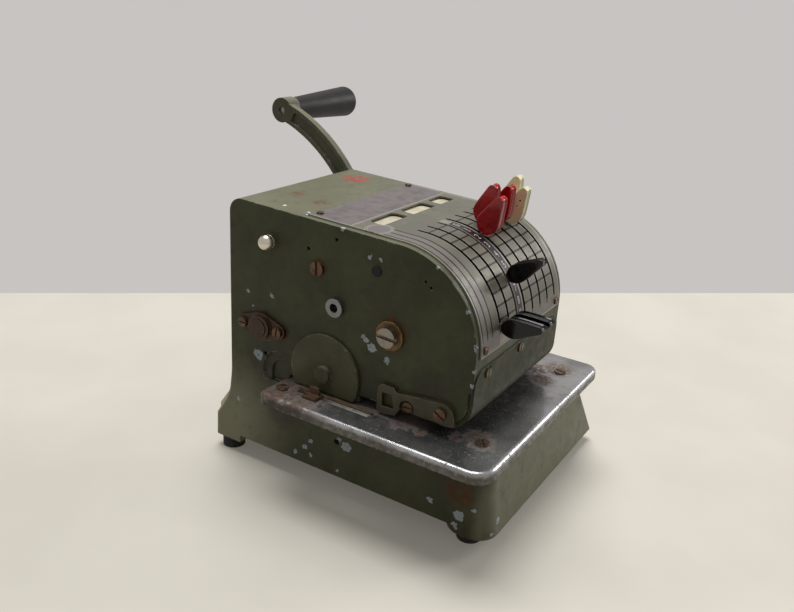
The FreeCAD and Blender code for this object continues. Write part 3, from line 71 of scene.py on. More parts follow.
class Finish:
    """A procedural material. Its masks and colours are sockets; set and relief put them to use."""

    def __init__(self, name, roughness=0.5, metallic=0.0):
        self.material = bpy.data.materials.new(name)
        self.material.use_nodes = True
        self.tree = self.material.node_tree
        self.surface = self.tree.nodes["Principled BSDF"]
        self.surface.inputs["Roughness"].default_value = roughness
        self.surface.inputs["Metallic"].default_value = metallic
        place = self.add("ShaderNodeTexCoord").outputs["Object"]
        self.place = self.vector("MULTIPLY_ADD", place, (1000, 1000, 1000), tuple(-HEAD_CORNER))
        self.x, self.y, self.z = self.add("ShaderNodeSeparateXYZ", self.place).outputs

    def add(self, kind, *values, **settings):
        node = self.tree.nodes.new(kind)
        for name, value in settings.items():
            setattr(node, name, value)
        for socket, value in zip(node.inputs, values):
            self.feed(socket, value)
        return node

    def feed(self, socket, value):
        if isinstance(value, bpy.types.NodeSocket):
            self.tree.links.new(value, socket)
        else:
            socket.default_value = value

    def set(self, **values):
        for name, value in values.items():
            self.feed(self.surface.inputs[name.replace("_", " ")], value)

    def math(self, operation, *values):
        return self.add("ShaderNodeMath", *values, operation=operation).outputs[0]

    def vector(self, operation, *values):
        return self.add("ShaderNodeVectorMath", *values, operation=operation).outputs[0]

    def either(self, *masks):
        total = masks[0]
        for mask in masks[1:]:
            total = self.math("MAXIMUM", total, mask)
        return total

    def both(self, *masks):
        total = masks[0]
        for mask in masks[1:]:
            total = self.math("MULTIPLY", total, mask)
        return total

    def fade(self, value, start, end, low=0.0, high=1.0):
        """A smooth step from low to high while the value goes from start to end."""
        return self.add(
            "ShaderNodeMapRange", value, start, end, low, high, interpolation_type="SMOOTHSTEP"
        ).outputs[0]

    def band(self, value, low, high, soft=0.15):
        """1 between two values and 0 outside them."""
        return self.both(
            self.fade(value, low - soft, low + soft),
            self.fade(value, high + soft, high - soft),
        )

    def line(self, value, centre, width, soft=0.15):
        return self.band(value, centre - width / 2, centre + width / 2, soft)

    def panel(self, bottom, top, left, right):
        """1 inside a rectangle as seen from the front."""
        return self.both(self.band(self.z, bottom, top), self.band(self.x, left, right))

    def mix(self, share, under, over):
        node = self.add("ShaderNodeMix", data_type="RGBA")
        self.feed(node.inputs[0], share)
        self.feed(node.inputs[6], under)
        self.feed(node.inputs[7], over)
        return node.outputs[2]

    def mix_value(self, share, under, over):
        """Between two numbers, as mix is between two colours."""
        node = self.add("ShaderNodeMix", data_type="FLOAT")
        self.feed(node.inputs[0], share)
        self.feed(node.inputs[2], under)
        self.feed(node.inputs[3], over)
        return node.outputs[0]

    def noise(self, grain, detail=3.0, roughness=0.55, stretch=(1, 1, 1), output=0):
        """Noise whose patches are about grain mm across, longer where stretch is over 1."""
        where = self.place
        if stretch != (1, 1, 1):
            where = self.vector("DIVIDE", where, stretch)
        node = self.add("ShaderNodeTexNoise")
        self.feed(node.inputs["Vector"], where)
        self.feed(node.inputs["Scale"], 1 / grain)
        self.feed(node.inputs["Detail"], detail)
        self.feed(node.inputs["Roughness"], roughness)
        return node.outputs[output]

    def wobble(self, amount, grain):
        """The place, pushed about by up to half of amount mm, so that a round spot gets a torn edge."""
        push = self.vector("SUBTRACT", self.noise(grain, output=1), (0.5, 0.5, 0.5))
        return self.vector("MULTIPLY_ADD", push, (amount,) * 3, self.place)

    def spots(self, places, amount=4.4, grain=2.8, rim=0.12, grow=1.0):
        """1 inside any of several torn spots, each an x, y, z and a radius in mm. Without spots, 0."""
        if not places:
            return self.scaled(self.x, 0.0)
        where = self.wobble(amount, grain)
        nearest = None
        for x, y, z, radius in places:
            gap = self.add("ShaderNodeVectorMath", where, (x, y, z), operation="DISTANCE").outputs[1]
            share = self.math("DIVIDE", gap, radius * grow)
            nearest = share if nearest is None else self.math("MINIMUM", nearest, share)
        return self.fade(nearest, 1 + rim, 1 - rim)

    def facing_up(self):
        """1 on surfaces that face upwards, which are painted paler as light from above."""
        normal = self.add("ShaderNodeNewGeometry").outputs["Normal"]
        upward = self.add("ShaderNodeSeparateXYZ", normal).outputs[2]
        return self.fade(upward, 0.55, 0.95)

    def edges(self, radius):
        """(rounded normal, 1 at outer and inner edges) within a radius in mm."""
        soft = self.add("ShaderNodeBevel", radius / 1000, samples=4).outputs[0]
        flat = self.add("ShaderNodeNewGeometry").outputs["Normal"]
        same = self.add("ShaderNodeVectorMath", soft, flat, operation="DOT_PRODUCT").outputs[1]
        return soft, self.fade(same, 0.985, 0.86)

    def relief(self, height, normal=None):
        """Bumps from a height in mm, over a normal."""
        node = self.add("ShaderNodeBump")
        self.feed(node.inputs["Strength"], 1.0)
        self.feed(node.inputs["Distance"], 0.001)
        self.feed(node.inputs["Height"], height)
        if normal is not None:
            self.feed(node.inputs["Normal"], normal)
        self.feed(self.surface.inputs["Normal"], node.outputs[0])

    def scaled(self, value, amount):
        return self.math("MULTIPLY", value, amount)

    def total(self, *values):
        result = values[0]
        for value in values[1:]:
            result = self.math("ADD", result, value)
        return result


# Chips in the enamel down to the pale primer: x, y, z and radius, mm.
PRIMER_CHIPS = [
    (0, -20.2, 73.2, 3.4),
    (0, -97.5, 99.7, 2.6),
    (0, -107.1, 95.2, 1.9),
    (0, -91.6, 104.8, 1.3),
    (0, -93.6, 102.6, 1.5),
    (0, -30.4, 111.5, 1.2),
    (0, -16.6, 102.5, 0.9),
    (0, -93.4, 148.4, 1.1),
    (0, -28.4, 84.3, 1.2),
    (0, -139.4, 66.2, 1.6),
    (0, -48.3, 19.4, 1.5),
    (0, -55.6, 24.8, 1.7),
    (0, -59.0, 30.0, 1.4),
    (0, -60.0, 21.1, 1.1),
    (0, -78.6, 18.4, 1.3),
    (0, -84.0, 35.4, 3.0),
    (0, -139.0, 23.7, 1.7),
    (0, -102.2, 43.5, 1.2),
    (0, -79.1, 38.1, 1.4),
    (0, -4.6, 39.5, 1.8),
    (0, -156.5, 21.2, 3.1),
    (0, -154.2, 14.5, 2.0),
    (0.5, -164.6, 27.1, 1.8),
    (3.7, -173, 28.7, 1.6),
    (14.7, -173, 17.4, 2.2),
    (17.0, -173, 7.8, 1.3),
    (8.8, -173, 12.1, 1.2),
    (29.5, -63, 160.6, 1.2),
    (9.0, -31, 161.5, 1.3),
    (0.0, -76, 159.6, 1.5),
    (5.0, -50, 161.0, 1.0),
    (9.0, -48, 161.0, 0.9),
    (77.0, -64, 160.6, 1.4),
    (0, -156.4, 116.8, 1.7),
    (0, -157.0, 104.2, 1.4),
    (0, -156.6, 96.0, 1.2),
    (0, -150.4, 134.3, 1.3),
    (0, -132.6, 152.1, 1.2),
    (0, -13.0, 110.6, 1.0),
    (0, -100.0, 148.6, 1.2),
]
# Rusty and greasy places on the enamel, written in the same way.
RUSTY_PLACES = [
    (0, -11.0, 92.0, 5.0),
    (0, -36.5, 92.0, 5.5),
    (0, -61.4, 135.0, 5.2),
    (0, -108.4, 110.1, 10.0),
    (0, -141.0, 77.0, 6.0),
    (0, -14.2, 70.8, 2.4),
    (0, -155.0, 35.0, 8.0),
    (35, -21, 161.5, 4.2),
    (28, -41, 161.2, 4.6),
    (0, -125.0, 66.0, 9.0),
    (0, -110.0, 64.0, 7.0),
]
OIL_PLACES = [
    (0, -60.0, 84.0, 16.0),
    (0, -95.0, 74.0, 18.0),
    (0, -30.0, 68.0, 14.0),
    (0, -135.0, 86.0, 12.0),
    (0, -154.0, 46.0, 15.0),
    (0, -40.0, 44.0, 12.0),
]

# Each enamel's darker and lighter clouds.
OLIVE = (paint(62, 65, 42), paint(84, 86, 58))
# The front cover's olive, painted darker as shade.
OLIVE_SHADED = (paint(45, 46, 25), paint(63, 63, 35))
OLIVE_PALE = (paint(90, 89, 70), paint(110, 108, 87))
# The pale of painted light on the enamel.
PAINTED_LIGHT_PALE = paint(164, 160, 130)
# Painted light: the pale given to faces that look up.
PAINTED_TOP_LIGHT = paint(146, 143, 119)
ENAMEL_GRIME = paint(46, 42, 30)
PRIMER = paint(206, 216, 214)
BARE_IRON = paint(104, 96, 84)
RUST = paint(112, 70, 42)
RED_WAX = paint(172, 52, 46)
# A worn red mark on the head's top: place and radius, mm.
RED_MARK = [(88.5, -22.3, 161.5, 9.0)]


def enamel(name, tones, chips=(), rusty=(), grimy=(), marks=(), wear=1.0, gloss=(0.38, 0.56)):
    """Old olive enamel on cast iron: cloudy, greasy, chipped to primer, worn along its edges."""
    f = Finish(name)
    cloud = f.noise(34, detail=5, roughness=0.6)
    fine = f.noise(2.6, detail=4, roughness=0.65)
    deep, pale = tones
    colour = f.mix(f.fade(cloud, 0.34, 0.68), deep, pale)
    # Painted light: faces that look up are painted paler, as if lit from above.
    colour = f.mix(f.scaled(f.facing_up(), 0.45), colour, PAINTED_TOP_LIGHT)
    # Painted light: paler low down at the back left and, half as much, on the front of the base.
    lit_back_left = f.both(f.fade(f.y, -50, 0), f.fade(f.z, 76, 34), f.fade(f.x, 40, 0))
    lit_front = f.both(f.fade(f.y, -162, -168), f.fade(f.z, 62, 56))
    colour = f.mix(f.either(lit_back_left, f.scaled(lit_front, 0.5)), colour, PAINTED_LIGHT_PALE)
    smudge = f.fade(f.noise(11, detail=6, roughness=0.7), 0.50, 0.74)
    colour = f.mix(f.scaled(smudge, 0.42), colour, ENAMEL_GRIME)
    speck = f.fade(fine, 0.62, 0.72)
    colour = f.mix(f.scaled(speck, 0.35), colour, ENAMEL_GRIME)
    grease = f.spots(grimy, amount=14, grain=9, rim=0.5)
    colour = f.mix(f.scaled(grease, 0.55), colour, ENAMEL_GRIME)
    stain = f.both(f.spots(rusty, amount=9, grain=5, rim=0.35), f.fade(f.noise(3.2), 0.34, 0.60))
    colour = f.mix(f.scaled(stain, 0.75), colour, RUST)
    mark = f.both(
        f.spots(marks, amount=1.6, grain=2.0, rim=0.1),
        f.fade(f.noise(2.2, detail=5), 0.40, 0.56),
    )
    colour = f.mix(f.scaled(mark, 0.85), colour, RED_WAX)
    rounded, edge = f.edges(1.5)
    rubbed = f.both(edge, f.fade(f.noise(7, detail=5, roughness=0.7), 0.50, 0.60))
    rubbed = f.scaled(rubbed, wear)
    ring = f.spots(chips, grow=1.22)
    chipped = f.spots(chips)
    colour = f.mix(f.scaled(ring, 0.5), colour, ENAMEL_GRIME)
    primer = f.mix(f.fade(f.noise(1.6), 0.56, 0.70), PRIMER, BARE_IRON)
    bare = f.either(chipped, rubbed)
    colour = f.mix(bare, colour, primer)
    f.set(Base_Color=colour, IOR=1.36)
    shine = f.fade(f.noise(5, detail=4), 0.3, 0.75, *gloss)
    f.set(Roughness=f.mix_value(f.either(bare, f.scaled(stain, 0.8)), shine, 0.78))
    peel = f.scaled(f.noise(1.1, detail=2), 0.035)
    casting = f.scaled(f.noise(16, detail=2), 0.10)
    depth = f.scaled(bare, -0.14)
    f.relief(f.total(peel, casting, depth), rounded)
    return f.material


# ---------------------------------------------------------------- scale plate

PLATE_LEFT = 4.0
PLATE_RIGHT = 102.0
PLATE_METAL = paint(158, 155, 145)
PLATE_GREEN = paint(112, 111, 98)
PLATE_GREEN_WARM = paint(122, 116, 102)
# Black of the print, also used for painted shade along the slots.
PRINT_AND_SHADE_BLACK = paint(14, 12, 11)
PRINT_BROWN = paint(50, 35, 30)
PRINT_MAROON = paint(44, 20, 27)
PRINT_MAUVE = paint(124, 117, 116)
# Dark lines to the left of the first slot, x in mm.
STRIPES = (5.4, 10.7, 16.1)
STRIPE_WIDTH = 1.15
# Where those lines end over the plate, in mm from the drum's top.
STRIPES_FRONT = -78.0
STRIPES_BACK = 11.4
CROSSBAR_WIDTH = 1.1
SLOT_BORDER = 1.45
DIGIT_COLUMN = (46.7, 51.8)
BAND_BACK = -51.2
BAND_FRONT = -77.4
# The plain oval field on the plate: its centre and its half sizes, mm.
OVAL_CENTRE = (10.8, -91.0, 160.4)
OVAL_HALVES = (8.3, 6.4, 60.0)
# Plain fields above the plate's lower edge: z from and to, x from and to, mm.
LOW_LEFT_FIELD = (100.0, 117.6, PLATE_LEFT + 1.0, 22.8)
LOW_TAB = (110.9, 116.2, 24.6, 41.0)
LOW_STRIP = (111.4, 115.6, 60.0, 92.0)
LOW_RIGHT_FIELD = (110.8, 117.2, 92.5, 100.4)


def along_plate(f):
    """mm over the plate from the drum's top: back is positive, forwards and down is negative."""
    up = f.math("SUBTRACT", f.z, DRUM_Z)
    ahead = f.math("SUBTRACT", DRUM_Y, f.y)
    angle = f.math("ARCTAN2", up, ahead)
    round_drum = f.scaled(f.math("SUBTRACT", angle, math.pi / 2), PLATE_RADIUS)
    below = f.math("SUBTRACT", up, PLATE_RADIUS * math.pi / 2)
    is_back = f.math("LESS_THAN", ahead, 0.0)
    is_below = f.math("LESS_THAN", up, 0.0)
    distance = f.mix_value(is_below, round_drum, below)
    return f.mix_value(is_back, distance, f.scaled(ahead, -1.0))


def scale_metal():
    """The scale plate: brushed metal under a worn print of squares, lines and a mauve band."""
    f = Finish("scale_plate_print", metallic=0.30)
    run = along_plate(f)
    first = FIRST_SLOT
    last = FIRST_SLOT + SLOT_PITCH * (SLOT_COUNT - 1)
    row = PLATE_RADIUS * math.radians(ROW_ANGLE)
    top_bar = -PLATE_RADIUS * math.radians(90 - ZERO_ROW_ANGLE - ROW_ANGLE / 2)
    from_slot = f.math("PINGPONG", f.math("SUBTRACT", f.x, first), SLOT_PITCH / 2)
    from_bar = f.math("PINGPONG", f.math("SUBTRACT", run, top_bar), row / 2)
    worn = f.noise(3.0, detail=5, roughness=0.7)

    tone = f.noise(22, detail=3)
    colour = f.mix(f.fade(tone, 0.4, 0.65), PLATE_GREEN, PLATE_GREEN_WARM)
    in_grid_x = f.band(f.x, first - 0.2, last + 0.2, 0.1)
    in_slots = f.band(run, top_bar - 10.2 * row, 3.2, 0.2)
    in_bars = f.band(run, top_bar - 9.3 * row, top_bar + 0.6, 0.1)
    border = f.both(f.fade(from_slot, SLOT_BORDER + 0.12, SLOT_BORDER - 0.12), in_slots)
    border = f.both(border, f.band(f.x, first - 1.8, last + 1.8, 0.1))
    colour = f.mix(border, colour, PLATE_METAL)
    bar_edge = CROSSBAR_WIDTH / 2
    bar = f.both(f.fade(from_bar, bar_edge + 0.12, bar_edge - 0.12), in_bars, in_grid_x)
    bar = f.both(bar, f.fade(worn, 0.24, 0.34))
    bar_colour = f.mix(f.fade(run, -20, -44), PRINT_BROWN, PRINT_AND_SHADE_BLACK)
    colour = f.mix(bar, colour, bar_colour)
    # Painted shade: a black band down the middle of each slot.
    shadowed = f.both(f.fade(from_slot, 1.18, 0.98), in_slots)
    shadowed = f.both(shadowed, f.band(f.x, first - 1.5, last + 1.5, 0.1))
    colour = f.mix(shadowed, colour, PRINT_AND_SHADE_BLACK)

    left, right = DIGIT_COLUMN
    column = f.both(f.band(f.x, left - 1.6, right + 1.6, 0.1), in_slots)
    colour = f.mix(column, colour, PLATE_METAL)
    field = f.both(f.band(f.x, left, right, 0.1), f.band(run, top_bar - 9.9 * row, top_bar + 0.6))
    field_colour = f.mix(f.fade(worn, 0.52, 0.70), PRINT_MAROON, PRINT_BROWN)
    colour = f.mix(field, colour, field_colour)
    for x in (left - 0.25, right + 0.25):
        colour = f.mix(f.both(f.line(f.x, x, 0.45, 0.1), in_slots), colour, PRINT_AND_SHADE_BLACK)
    for x in (left - 1.65, right + 1.65):
        colour = f.mix(f.both(f.line(f.x, x, 0.35, 0.1), in_slots), colour, PRINT_AND_SHADE_BLACK)

    striped = f.band(run, STRIPES_FRONT, STRIPES_BACK, 0.3)
    pale_strip = f.both(f.band(f.x, STRIPES[0], STRIPES[-1], 0.2), striped)
    hatch = f.math("SINE", f.scaled(run, 2 * math.pi / 1.1))
    strip_colour = f.mix(f.fade(hatch, -1.0, 1.0), paint(118, 112, 104), paint(138, 132, 124))
    colour = f.mix(pale_strip, colour, strip_colour)
    for x in STRIPES:
        stripe = f.both(f.line(f.x, x, STRIPE_WIDTH, 0.15), striped)
        stripe = f.both(stripe, f.fade(worn, 0.20, 0.30))
        colour = f.mix(stripe, colour, PRINT_AND_SHADE_BLACK)

    rim = f.either(
        f.fade(f.x, PLATE_LEFT + 1.1, PLATE_LEFT + 0.7),
        f.fade(f.x, PLATE_RIGHT - 1.3, PLATE_RIGHT - 0.9),
    )
    colour = f.mix(rim, colour, PLATE_METAL)

    mauve = f.both(
        f.band(f.y, BAND_FRONT, BAND_BACK - 2.0, 0.15),
        f.band(f.x, PLATE_LEFT + 1.4, PLATE_RIGHT - 1.4),
    )
    mauve_colour = f.mix(f.fade(f.noise(7, detail=4), 0.35, 0.75), PRINT_MAUVE, paint(104, 94, 94))
    colour = f.mix(f.both(mauve, f.fade(worn, 0.76, 0.68)), colour, mauve_colour)
    band_rim = f.line(f.y, BAND_FRONT - 0.5, 1.0, 0.1)
    colour = f.mix(f.both(band_rim, f.band(f.z, 140, 170)), colour, PLATE_METAL)

    oval = f.vector("DIVIDE", f.vector("SUBTRACT", f.place, OVAL_CENTRE), OVAL_HALVES)
    reach = f.add("ShaderNodeVectorMath", oval, operation="LENGTH").outputs[1]
    colour = f.mix(f.fade(reach, 1.04, 0.98), colour, PRINT_MAUVE)
    ring = f.both(f.fade(reach, 0.82, 0.86), f.fade(reach, 0.94, 0.90))
    colour = f.mix(ring, colour, PLATE_METAL)
    colour = f.mix(f.both(f.fade(reach, 1.12, 1.06), f.fade(reach, 0.98, 1.02)), colour, PLATE_METAL)

    left_field = f.both(f.panel(*LOW_LEFT_FIELD), f.fade(worn, 0.66, 0.58))
    colour = f.mix(left_field, colour, PRINT_MAUVE)
    colour = f.mix(f.panel(*LOW_TAB), colour, PLATE_METAL)
    colour = f.mix(f.scaled(f.panel(*LOW_STRIP), 0.55), colour, PRINT_MAUVE)
    colour = f.mix(f.panel(*LOW_RIGHT_FIELD), colour, PRINT_MAUVE)
    hem = f.fade(f.z, DRUM_Z + 0.6, DRUM_Z + 0.1)
    colour = f.mix(hem, colour, PLATE_METAL)

    rub = f.fade(f.noise(9, detail=6, roughness=0.72), 0.58, 0.68)
    colour = f.mix(f.scaled(rub, 0.30), colour, PLATE_METAL)
    dirt = f.fade(f.noise(6, detail=6, roughness=0.75), 0.56, 0.78)
    colour = f.mix(f.scaled(dirt, 0.45), colour, ENAMEL_GRIME)
    f.set(Base_Color=colour)
    f.set(Roughness=f.fade(f.noise(4.5, detail=4), 0.3, 0.7, 0.40, 0.52))
    rounded, _ = f.edges(0.35)
    f.relief(f.total(f.scaled(f.noise(0.5, detail=2, stretch=(1, 6, 6)), 0.006),
                     f.scaled(f.noise(14, detail=1), 0.05)), rounded)
    return f.material


# ---------------------------------------------------------------- metals

# Pale steel of worn edges, also a painted highlight.
STEEL_PALE_AND_HIGHLIGHT = paint(196, 196, 192)
# Dark steel, also used as the painted dark reflection on the table's rim.
STEEL_DARK_AND_REFLECTION = paint(70, 66, 60)
RUST_DEEP = paint(72, 44, 28)

# The table plate's outline and top (CAD sizes).
TABLE_LEFT = -23.0
TABLE_RIGHT = 133.5
TABLE_FRONT = -179.0
TABLE_BACK = -39.5
TABLE_TOP = 64.5
TABLE_GREY = paint(182, 183, 184)
TABLE_DARK = paint(142, 142, 142)
TABLE_BROWN = paint(112, 82, 58)
# Rusty places on the table: x, y, z and radius, mm.
TABLE_RUSTY_SPOTS = [
    (5.0, -162.8, TABLE_TOP, 7.0),
    (3.0, -150.0, TABLE_TOP, 5.0),
    (109.0, -162.7, TABLE_TOP, 6.0),
    (-4.6, -132.0, TABLE_TOP, 4.0),
    (10.0, -84.0, TABLE_TOP, 9.0),
    (20.0, -100.0, TABLE_TOP, 6.0),
    (104.0, -148.0, TABLE_TOP, 8.0),
    (116.0, -120.0, TABLE_TOP, 10.0),
    (92.0, -158.0, TABLE_TOP, 7.0),
    (112.0, -160.0, TABLE_TOP, 10.0),
    (-2.0, -120.0, TABLE_TOP, 7.0),
    (10.0, -158.0, TABLE_TOP, 7.0),
]


def table_steel():
    """The plated table: worn bright, with clouds, pits, brown rust at its back and a speckled rim; its
    outer edges are worn pale and painted as a highlight, its rim's side painted dark as a reflection.
    """
    f = Finish("table_steel")
    cloud = f.noise(24, detail=5, roughness=0.6)
    streaks = f.noise(1.2, detail=3, stretch=(1, 14, 1))
    colour = f.mix(f.fade(cloud, 0.36, 0.66), TABLE_GREY, TABLE_DARK)
    colour = f.mix(f.scaled(f.fade(streaks, 0.54, 0.74), 0.25), colour, STEEL_DARK_AND_REFLECTION)
    bloom = f.fade(f.noise(6, detail=7, roughness=0.75), 0.54, 0.68)
    colour = f.mix(f.scaled(bloom, 0.34), colour, STEEL_DARK_AND_REFLECTION)
    fleck = f.fade(f.noise(0.9, detail=3, roughness=0.7), 0.60, 0.70)
    colour = f.mix(f.scaled(fleck, 0.24), colour, STEEL_DARK_AND_REFLECTION)
    pits = f.fade(f.noise(1.5, detail=3, roughness=0.6), 0.63, 0.70)
    pits = f.both(pits, f.fade(f.noise(18, detail=2), 0.42, 0.58))
    rounded, edge = f.edges(1.4)
    torn = f.fade(f.noise(7, detail=6, roughness=0.7), 0.30, 0.52)
    rear = f.both(f.fade(f.y, -92, -62), f.fade(f.x, 10, 0), torn)
    beside_head = f.both(f.fade(f.x, -7, -2), f.fade(f.x, 40, 20), f.fade(f.y, -150, -120), torn)
    near_screws = f.spots(TABLE_RUSTY_SPOTS, amount=9, grain=4, rim=0.4)
    near_screws = f.both(near_screws, f.fade(f.noise(2.2), 0.28, 0.50))
    side = f.fade(f.z, TABLE_TOP - 0.9, TABLE_TOP - 3.3)
    rim_rust = f.scaled(f.both(side, f.fade(f.noise(2.4, detail=5, roughness=0.7), 0.36, 0.60)), 0.6)
    outer = f.either(
        f.fade(f.x, TABLE_LEFT + 3.5, TABLE_LEFT + 2.0),
        f.fade(f.x, TABLE_RIGHT - 4.0, TABLE_RIGHT - 2.0),
        f.fade(f.y, TABLE_FRONT + 3.5, TABLE_FRONT + 2.0),
        f.fade(f.y, TABLE_BACK - 3.5, TABLE_BACK - 2.0),
    )
    speckles = f.both(edge, outer, f.fade(f.noise(1.3, detail=5, roughness=0.7), 0.44, 0.56, 0.5, 1.0))
    rust = f.either(rear, f.scaled(beside_head, 0.8), near_screws, rim_rust, speckles, f.scaled(pits, 0.8))
    rust_colour = f.mix(f.fade(f.noise(2.4, detail=5), 0.38, 0.62), TABLE_BROWN, RUST_DEEP)
    colour = f.mix(f.scaled(rust, 0.85), colour, rust_colour)
    # Painted reflection: the rim's vertical face is painted darker, as the dark it reflects.
    colour = f.mix(f.scaled(side, 0.75), colour, STEEL_DARK_AND_REFLECTION)
    # Worn pale along the outer edges, partly wear and partly a painted highlight.
    worn_rim_and_highlight = f.both(edge, outer, f.fade(f.noise(1.6, detail=4), 0.50, 0.60))
    colour = f.mix(f.scaled(worn_rim_and_highlight, 0.6), colour, STEEL_PALE_AND_HIGHLIGHT)
    f.set(Base_Color=colour)
    f.set(Metallic=f.mix_value(worn_rim_and_highlight, f.fade(rust, 0.2, 0.9, 0.88, 0.15), 1.0))
    shine = f.fade(f.noise(6, detail=5), 0.3, 0.7, 0.17, 0.30)
    dull = f.either(rust, f.scaled(bloom, 0.35), f.scaled(edge, 0.85))
    f.set(Roughness=f.mix_value(dull, shine, 0.66))
    height = f.total(f.scaled(pits, -0.08), f.scaled(streaks, 0.008), f.scaled(f.noise(26, detail=1), 0.08))
    f.relief(f.total(height, f.scaled(f.both(edge, f.noise(2.0, detail=4)), 0.22)), rounded)
    return f.material


def rusted_steel(name, tint, clean=0.50):
    """Plated screws and fittings: brownish metal with soft patches of rust, cleaner at its edges."""
    f = Finish(name)
    cover = f.fade(f.noise(3.6, detail=4, roughness=0.6), clean - 0.10, clean + 0.16)
    fine = f.noise(0.9, detail=4)
    colour = f.mix(f.scaled(f.fade(fine, 0.4, 0.65), 0.4), tint, STEEL_DARK_AND_REFLECTION)
    rust_colour = f.mix(f.fade(f.noise(1.3), 0.4, 0.62), paint(104, 72, 50), RUST_DEEP)
    colour = f.mix(f.scaled(cover, 0.8), colour, rust_colour)
    rounded, edge = f.edges(0.4)
    colour = f.mix(f.scaled(edge, 0.6), colour, tint)
    f.set(Base_Color=colour)
    f.set(Metallic=f.fade(cover, 0.1, 0.9, 0.9, 0.4))
    f.set(Roughness=f.fade(cover, 0.0, 1.0, 0.34, 0.62))
    f.relief(f.total(f.scaled(fine, 0.03), f.scaled(cover, 0.02)), rounded)
    return f.material


def bright_metal(name, tint, roughness=0.16):
    """Nickel or brass that still shines, with small dull specks."""
    f = Finish(name, metallic=1.0)
    speck = f.fade(f.noise(1.1, detail=4), 0.60, 0.72)
    haze = f.noise(3.5, detail=4)
    colour = f.mix(f.scaled(speck, 0.6), tint, RUST_DEEP)
    colour = f.mix(f.scaled(f.fade(haze, 0.5, 0.8), 0.25), colour, STEEL_DARK_AND_REFLECTION)
    f.set(Base_Color=colour)
    f.set(Roughness=f.fade(haze, 0.3, 0.8, roughness, roughness + 0.22))
    rounded, _ = f.edges(0.5)
    f.relief(f.scaled(speck, -0.02), rounded)
    return f.material


def bronzed(name, tint, rubbed, metallic=0.55):
    """Smooth darkened metal, rubbed bright along its edges, a pale edge that is also a painted highlight.
    """
    f = Finish(name, metallic=metallic)
    cloud = f.noise(6, detail=4, roughness=0.6)
    colour = f.mix(f.scaled(f.fade(cloud, 0.40, 0.70), 0.55), tint, ENAMEL_GRIME)
    flakes = f.fade(f.noise(2.0, detail=5, roughness=0.7), 0.60, 0.70)
    colour = f.mix(f.scaled(flakes, 0.6), colour, RUST)
    rounded, edge = f.edges(0.7)
    # Partly wear and partly a painted highlight: the edges are painted pale.
    bright = f.both(edge, f.fade(f.noise(3.0, detail=3), 0.38, 0.54))
    f.set(Base_Color=f.mix(bright, colour, rubbed))
    f.set(Roughness=f.fade(cloud, 0.3, 0.7, 0.32, 0.50))
    f.relief(f.total(f.scaled(flakes, 0.05), f.scaled(f.noise(1.2, detail=2), 0.02)), rounded)
    return f.material


def inner_steel(name, tint):
    """Cut sheet steel inside the machine: oiled, a little streaky."""
    f = Finish(name, metallic=1.0)
    grain = f.noise(0.8, detail=3, stretch=(1, 5, 1))
    oil = f.fade(f.noise(8, detail=4), 0.45, 0.70)
    colour = f.mix(f.scaled(oil, 0.45), tint, STEEL_DARK_AND_REFLECTION)
    colour = f.mix(f.scaled(f.fade(grain, 0.5, 0.8), 0.3), colour, STEEL_DARK_AND_REFLECTION)
    f.set(Base_Color=colour)
    f.set(Roughness=f.fade(grain, 0.3, 0.7, 0.30, 0.46))
    f.relief(f.scaled(grain, 0.02))
    return f.material


# ---------------------------------------------------------------- plastics, rubber, card, felt

def finger_plastic(name, colour, shade, pits=(), dirt=0.25, ior=1.5):
    """Glossy moulded plastic under a thin film of dirt, with pits where they are given."""
    f = Finish(name)
    cloud = f.noise(6, detail=4)
    tone = f.mix(f.fade(cloud, 0.35, 0.7), colour, shade)
    film = f.fade(f.noise(2.4, detail=6, roughness=0.7), 0.54, 0.76)
    tone = f.mix(f.scaled(film, dirt), tone, ENAMEL_GRIME)
    height = f.scaled(f.noise(3.5, detail=2), 0.05)
    if pits:
        hole = f.spots(pits, amount=0.3, grain=1, rim=0.2)
        tone = f.mix(hole, tone, PRINT_AND_SHADE_BLACK)
        height = f.total(height, f.scaled(hole, -0.5))
    f.set(Base_Color=tone, IOR=ior)
    f.set(Roughness=f.fade(film, 0.0, 1.0, 0.12, 0.30))
    f.relief(height)
    return f.material


def grip_plastic():
    """The crank's grip: dark plastic, dulled and scuffed by hands."""
    f = Finish("grip_plastic")
    cloud = f.noise(9, detail=5, stretch=(3, 1, 1))
    colour = f.mix(f.fade(cloud, 0.35, 0.7), paint(16, 15, 14), paint(30, 27, 24))
    scuff = f.fade(f.noise(1.4, detail=4, stretch=(5, 1, 1)), 0.62, 0.74)
    colour = f.mix(f.scaled(scuff, 0.35), colour, paint(92, 86, 76))
    f.set(Base_Color=colour, IOR=1.42)
    f.set(Roughness=f.fade(cloud, 0.3, 0.7, 0.46, 0.60))
    rounded, _ = f.edges(1.0)
    f.relief(f.total(f.scaled(scuff, 0.03), f.scaled(f.noise(5), 0.05)), rounded)
    return f.material


def rubber():
    """Black rubber feet, dusty near the floor."""
    f = Finish("foot_rubber")
    dust = f.both(f.fade(f.z, 7, 1.6), f.fade(f.noise(2.5, detail=5), 0.35, 0.65))
    colour = f.mix(f.scaled(dust, 0.5), paint(26, 25, 24), paint(92, 88, 80))
    f.set(Base_Color=colour, Roughness=0.82)
    rounded, _ = f.edges(0.8)
    f.relief(f.scaled(f.noise(0.9, detail=3), 0.04), rounded)
    return f.material


